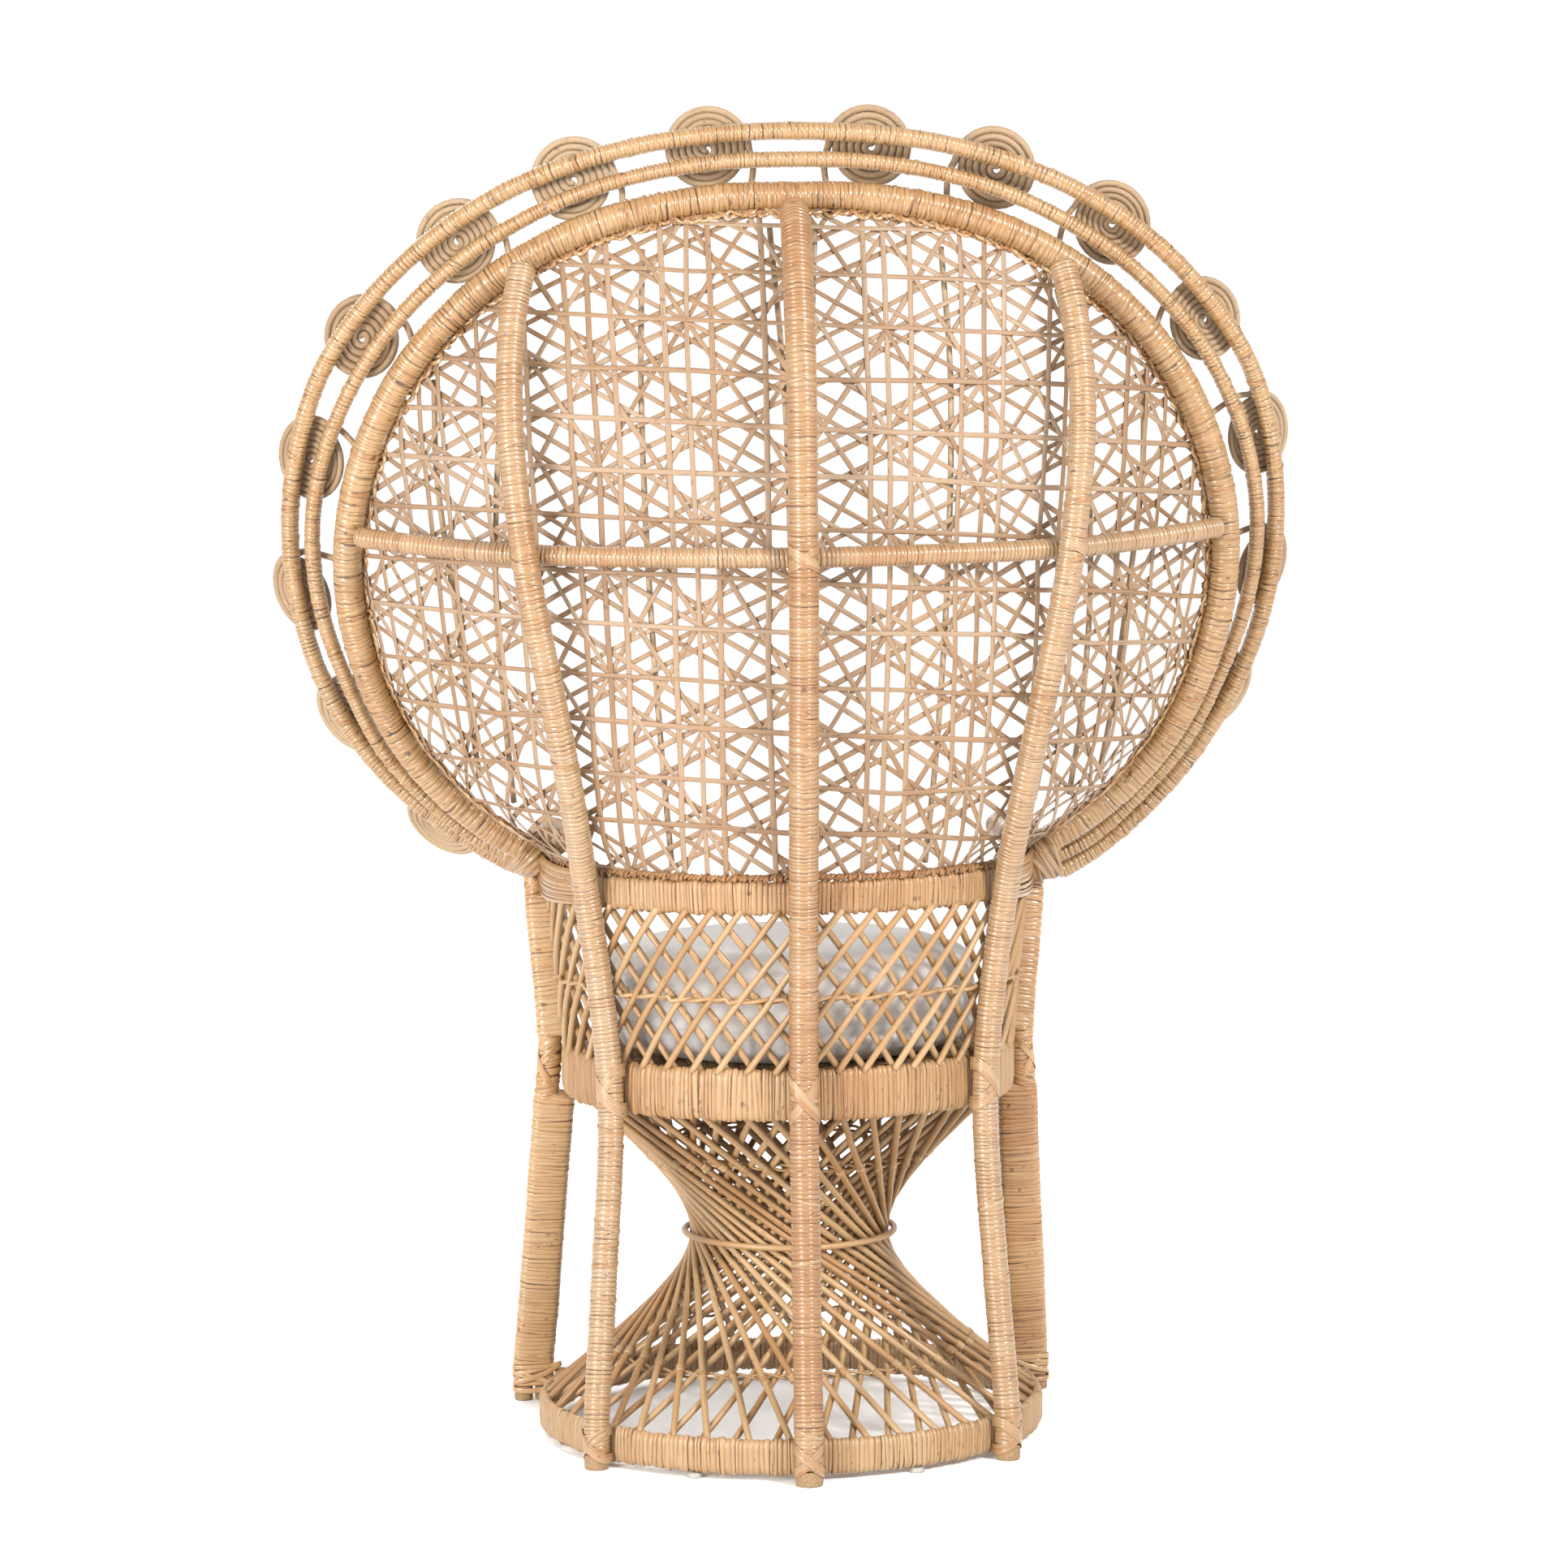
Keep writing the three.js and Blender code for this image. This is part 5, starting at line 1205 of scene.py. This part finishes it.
# ---- bindings
def cross_bind(heap, centre, axis, out, r, height, n=4, width=4.2, seed=1, reach=105, grip=7.0, both=True):
    """An X of flat strips over a rod, whose ends go back round what the rod is tied to."""
    rng = np.random.default_rng(seed)
    axis, out = unit(axis), unit(out - axis * (np.asarray(out) @ unit(axis)))
    lat = np.cross(axis, out)
    for layer, sg in enumerate((1, -1) if both else (1,)):
        for j in range(n):
            shift = (j - (n - 1) / 2) * width * rng.uniform(0.92, 1.06)
            al = np.radians(np.linspace(-reach, reach, 19))
            R = r + 0.1 + 0.5 * layer + rng.normal(0, 0.08)
            hgt = sg * height * np.sin(al * 90 / reach * np.pi / 180 * 0 + al * 0.82) / math.sin(math.radians(reach) * 0.82) + shift * (1 - 0.25 * np.abs(al) / al.max())
            p = centre + lat * (np.sin(al) * R)[:, None] + out * (np.cos(al) * R)[:, None] + axis * hgt[:, None]
            nrm = lat * np.sin(al)[:, None] + out * np.cos(al)[:, None]
            p = np.vstack([p[0] - out * grip + lat * 0.5, p, p[-1] - out * grip - lat * 0.5])
            nrm = np.vstack([nrm[:1], nrm, nrm[-1:]])
            ribbon(heap, p, nrm, width * rng.uniform(0.93, 1.05), 0.6, tone=rng.random(), slow=rng.uniform(0.1, 0.8), uoff=rng.random() * 900)


def line_at_z(points, z):
    c = curve(points)
    i = int(np.argmin(np.abs(c[:, 2] - z)))
    return c[i], unit(c[min(i + 3, len(c) - 1)] - c[max(i - 3, 0)])


h = Heap()
for k, (pts, r) in enumerate(((POST_CENTRE, POST_R), (POST_SIDE, SIDE_POST_R), (mirror(POST_SIDE), SIDE_POST_R))):
    for j, (z, height, n) in enumerate(((403, 21, 4), (27, 15, 3))):
        c, ax = line_at_z(pts, z)
        out = unit(np.array([c[0], c[1], 0]))
        cross_bind(h, c, ax, out, r, height, n, 4.4, seed=300 + 10 * k + j)
    c, ax = line_at_z(pts, 972)
    cross_bind(h, c, ax, unit(np.array([c[0] * 0.5, 1, 0])) if k else np.array([0, 1.0, 0]), r, 10, 3, 4.4, seed=340 + k)
h.make("post_bindings", WRAP, "wrapped_cane")
h = Heap()
for s in (1, -1):
    for j, (z, height, n) in enumerate(((403, 20, 3), (614, 12, 3))):
        c, ax = line_at_z(LEG * [s, 1, 1], z)
        cross_bind(h, c, ax, np.array([s * 0.75, 0.65, 0]), LEG_ROD_R - 0.3, height, n, 4.2, seed=360 + j + s)
h.make("leg_bindings", WRAP_LEG_PAINTED_LIGHT, "wrapped_cane")
# turns that sit slanted or loose here and there
rng = np.random.default_rng(470)
for name, mat, rods, gap in (("hoop_loose_turns", WRAP_HOOP, [(hoop_line(i), HOOP_R[i]) for i in range(3)], (9, 34)), ("post_loose_turns", WRAP, [(curve(POST_CENTRE), POST_R), (curve(POST_SIDE), SIDE_POST_R), (curve(mirror(POST_SIDE)), SIDE_POST_R)], (20, 60))):
    h = Heap()
    for line, r in rods:
        s = rng.uniform(20, 60)
        top = arc(line)[-1]
        while s < top - 30:
            c, ax = at(line, np.array([s]))[0], tangents(line, np.array([s]))[0]
            cross_bind(h, c, ax, np.array([0, 1.0, 0]) + 0.25 * rng.normal(size=3), r + 0.1, rng.uniform(1.0, 6.0) * rng.choice([-1, 1]), 1, rng.uniform(3.4, 5.0), seed=int(rng.integers(1000000)), reach=rng.uniform(95, 125), grip=1.0, both=False)
            s += gap[0] + rng.exponential(gap[1])
    h.make(name, mat, "wrapped_cane")


# ---- the loose cushion: a firm round pad, flat on top, gathered below a seam near its foot
def pad_start(inset):
    """The filled shape before it swells, closed."""
    rows, cols = 40, 128
    top, low = CUSHION_Z[1] - 18.0 - inset, CUSHION_Z[0] + 2.0 + inset
    R, r_top, r_low = CUSHION_R - 1.6 - inset, 13.0, 10.0
    prof = []
    for k in range(9):
        prof.append(((R - r_top) * k / 8, top + 2.0 * (1 - (k / 8) ** 2)))
    for k in range(1, 9):
        a = math.pi / 2 * (1 - k / 8)
        prof.append((R - r_top + r_top * math.cos(a), top - r_top + r_top * math.sin(a)))
    for k in range(1, 6):
        prof.append((R, top - r_top + (low + r_low - top + r_top) * k / 6))
    for k in range(0, 9):
        a = -math.pi / 2 * k / 8
        prof.append((R - r_low + r_low * math.cos(a), low + r_low + r_low * math.sin(a)))
    for k in range(1, 9):
        prof.append(((R - r_low) * (1 - k / 8), low))
    prof = np.array(prof)[1:-1]
    b = np.arange(cols) / cols * 2 * np.pi
    v = np.stack([prof[:, :1] * np.cos(b), prof[:, :1] * np.sin(b), np.repeat(prof[:, 1:], cols, 1)], -1).reshape(-1, 3)
    q, _, _ = grid(len(prof), cols)
    m = len(v)
    v = np.vstack([v, [0, 0, top + 2.0], [0, 0, low]])
    jj = np.arange(cols)
    t = np.vstack([np.stack([np.full(cols, m), jj, (jj + 1) % cols], 1), np.stack([np.full(cols, m + 1), m - cols + (jj + 1) % cols, m - cols + jj], 1)])
    return v, q[:, ::-1], t


def new_mesh(name, v, faces):
    me = bpy.data.meshes.new(name)
    me.from_pydata((np.asarray(v) * 0.001).tolist(), [], faces)
    me.update()
    o = bpy.data.objects.new(name, me)
    bpy.context.scene.collection.objects.link(o)
    return o


def baked(o):
    dg = bpy.context.evaluated_depsgraph_get()
    me = bpy.data.meshes.new_from_object(o.evaluated_get(dg))
    o.modifiers.clear()
    old = o.data
    o.data = me
    bpy.data.meshes.remove(old)


def coords(o):
    c = np.empty(len(o.data.vertices) * 3, np.float32)
    o.data.vertices.foreach_get("co", c)
    return c.reshape(-1, 3).astype(float)


def put_coords(o, c):
    o.data.vertices.foreach_set("co", np.asarray(c, np.float32).ravel())
    o.data.update()


def make_cushion():
    v, q, t = pad_start(7.0)
    o = new_mesh("cushion_pad", v, q.tolist() + t.tolist())
    m = o.modifiers.new("even", "REMESH")
    m.mode, m.voxel_size, m.use_smooth_shade = "VOXEL", 0.006, True
    bpy.context.view_layer.update()
    baked(o)
    first = coords(o)
    c = o.modifiers.new("swell", "CLOTH")
    k = c.settings
    k.quality, k.mass = 5, 0.3
    k.tension_stiffness = k.compression_stiffness = 18.0
    k.shear_stiffness, k.bending_stiffness = 6.0, 0.6
    k.use_pressure, k.uniform_pressure_force = True, 1.6
    k.effector_weights.gravity = 0.0
    c.collision_settings.use_collision = False
    c.collision_settings.use_self_collision = False
    c.point_cache.frame_start, c.point_cache.frame_end = 1, 20
    for frame_number in range(1, 21):
        bpy.context.scene.frame_set(frame_number)
    dg = bpy.context.evaluated_depsgraph_get()
    me = o.evaluated_get(dg).data
    last = np.empty(len(me.vertices) * 3, np.float32)
    me.vertices.foreach_get("co", last)
    last = last.reshape(-1, 3).astype(float)
    o.modifiers.clear()
    bpy.context.scene.frame_set(1)
    move = last - first
    d = np.linalg.norm(move, axis=1, keepdims=True)
    move *= np.minimum(1.0, 0.010 / np.maximum(d, 1e-9))
    put_coords(o, first + move)
    m = o.modifiers.new("ease", "SMOOTH")
    m.factor, m.iterations = 0.5, 14
    m = o.modifiers.new("finer", "SUBSURF")
    m.levels = m.render_levels = 1
    bpy.context.view_layer.update()
    baked(o)
    # the seam near the foot, the gathers under it, and soft unevenness from use
    c = coords(o) * 1000
    r = np.hypot(c[:, 0], c[:, 1])
    a = np.arctan2(c[:, 1], c[:, 0])
    rng = np.random.default_rng(404)
    seam = 460 + 1.5 * np.sin(2 * a + 0.4)
    side = np.clip((r - 178) / 20, 0, 1)
    dz = c[:, 2] - seam
    dr = -3.4 * np.exp(-(dz / 2.6) ** 2) * side
    fold = np.zeros(len(a))
    for n, ph, w in zip(rng.integers(38, 95, 9), rng.uniform(0, 6.28, 9), rng.uniform(0.4, 1.0, 9)):
        fold += w * np.sin(n * a + ph)
    fold = fold / 3.0
    below = np.clip(-dz / 6, 0, 1) * np.exp(-np.clip(-dz, 0, None) / 38)
    above = np.clip(dz / 3, 0, 1) * np.exp(-np.clip(dz, 0, None) / 13)
    dr += fold * side * (2.6 * below + 1.1 * above)
    lump = np.zeros(len(a))
    for _ in range(14):
        x, y, w = rng.uniform(-190, 190), rng.uniform(-190, 190), rng.uniform(28, 70)
        lump += rng.normal(0, 0.7) * np.exp(-((c[:, 0] - x) ** 2 + (c[:, 1] - y) ** 2) / w ** 2)
    c[:, 2] += lump * np.clip((c[:, 2] - 470) / 60, 0, 1)
    side_lump = 1.4 * np.sin(5 * a + 0.7) * np.sin((c[:, 2] - 430) / 33) + 0.9 * np.sin(11 * a + c[:, 2] / 15)
    dr += side_lump * side
    k = 1 + dr / np.maximum(r, 1)
    c[:, 0] *= k
    c[:, 1] *= k
    r = np.hypot(c[:, 0], c[:, 1])
    k = np.minimum(1, (CUSHION_R - 0.6) / np.maximum(r, 1))
    c[:, 0] *= k
    c[:, 1] *= k
    c[:, 2] = np.clip(c[:, 2], CUSHION_Z[0] + 0.5, CUSHION_Z[1] - 0.3)
    c[:, 1] += Y_SHIFT
    put_coords(o, c * 0.001)
    for p in o.data.polygons:
        p.use_smooth = True
    o.data.materials.clear()
    o.data.materials.append(CANVAS)
    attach(o, "cushion")
    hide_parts("seat_cushion")
    ALL[o.name] = len(o.data.polygons) * 2
    return o


cushion = make_cushion()


# ==== floor, light and camera
def floor_material():
    k = Nodes("pale_floor")
    p = k.place()
    n = k.noise(p, 3.0, 2.0)
    k.set(Base_Color=k.mix(k.map(n, 0.3, 0.7), (0.965, 0.965, 0.965, 1), (0.98, 0.98, 0.98, 1)), Roughness=0.9)
    return k.m


me = bpy.data.meshes.new("studio_floor")
me.from_pydata([(-60, -60, 0), (60, -60, 0), (60, 60, 0), (-60, 60, 0)], [], [(0, 1, 2, 3)])
me.materials.append(floor_material())
floor = bpy.data.objects.new("studio_floor", me)
bpy.context.scene.collection.objects.link(floor)

world = bpy.data.worlds.new("studio")
bpy.context.scene.world = world
world.use_nodes = True
world.node_tree.nodes["Background"].inputs[0].default_value = (1.0, 1.0, 1.0, 1.0)
world.node_tree.nodes["Background"].inputs[1].default_value = 1.06
bpy.context.scene.view_settings.view_transform = "Standard"


def lamp(name, where, aim, size, power, colour=(1, 1, 1)):
    l = bpy.data.lights.new(name, "AREA")
    l.shape, l.size, l.size_y = "RECTANGLE", size[0], size[1]
    l.energy, l.color = power, colour
    o = bpy.data.objects.new(name, l)
    bpy.context.scene.collection.objects.link(o)
    d = Vector(aim) - Vector(where)
    o.location = where
    o.rotation_euler = d.to_track_quat("-Z", "Y").to_euler()


lamp("key", (-2.45, 3.15, 3.05), (0, 0, 0.75), (0.7, 0.7), 225, (1.0, 0.98, 0.95))
lamp("fill", (3.0, 3.3, 1.25), (0, 0, 0.4), (1.5, 1.5), 225, (1.0, 0.985, 0.96))
lamp("front", (1.8, -3.2, 3.4), (0, 0, 0.8), (1.4, 1.4), 60)

r2, u2, fw = cam_axes()
where = (CAM_C + [0, Y_SHIFT, 0]) * 0.001
cam = bpy.data.cameras.new("photo_view")
cam.sensor_fit, cam.sensor_width, cam.lens = "HORIZONTAL", 36.0, 36.0 * CAM_F / 1932
cam.clip_start, cam.clip_end = 0.1, 200.0
view = bpy.data.objects.new("photo_view", cam)
view.matrix_world = Matrix([[r2[k], u2[k], -fw[k], where[k]] for k in range(3)] + [[0, 0, 0, 1]])
bpy.context.scene.collection.objects.link(view)
bpy.context.scene.camera = view

bpy.context.view_layer.update()
print("triangles", sum(ALL.values()), "largest", sorted(ALL.items(), key=lambda x: -x[1])[:8])
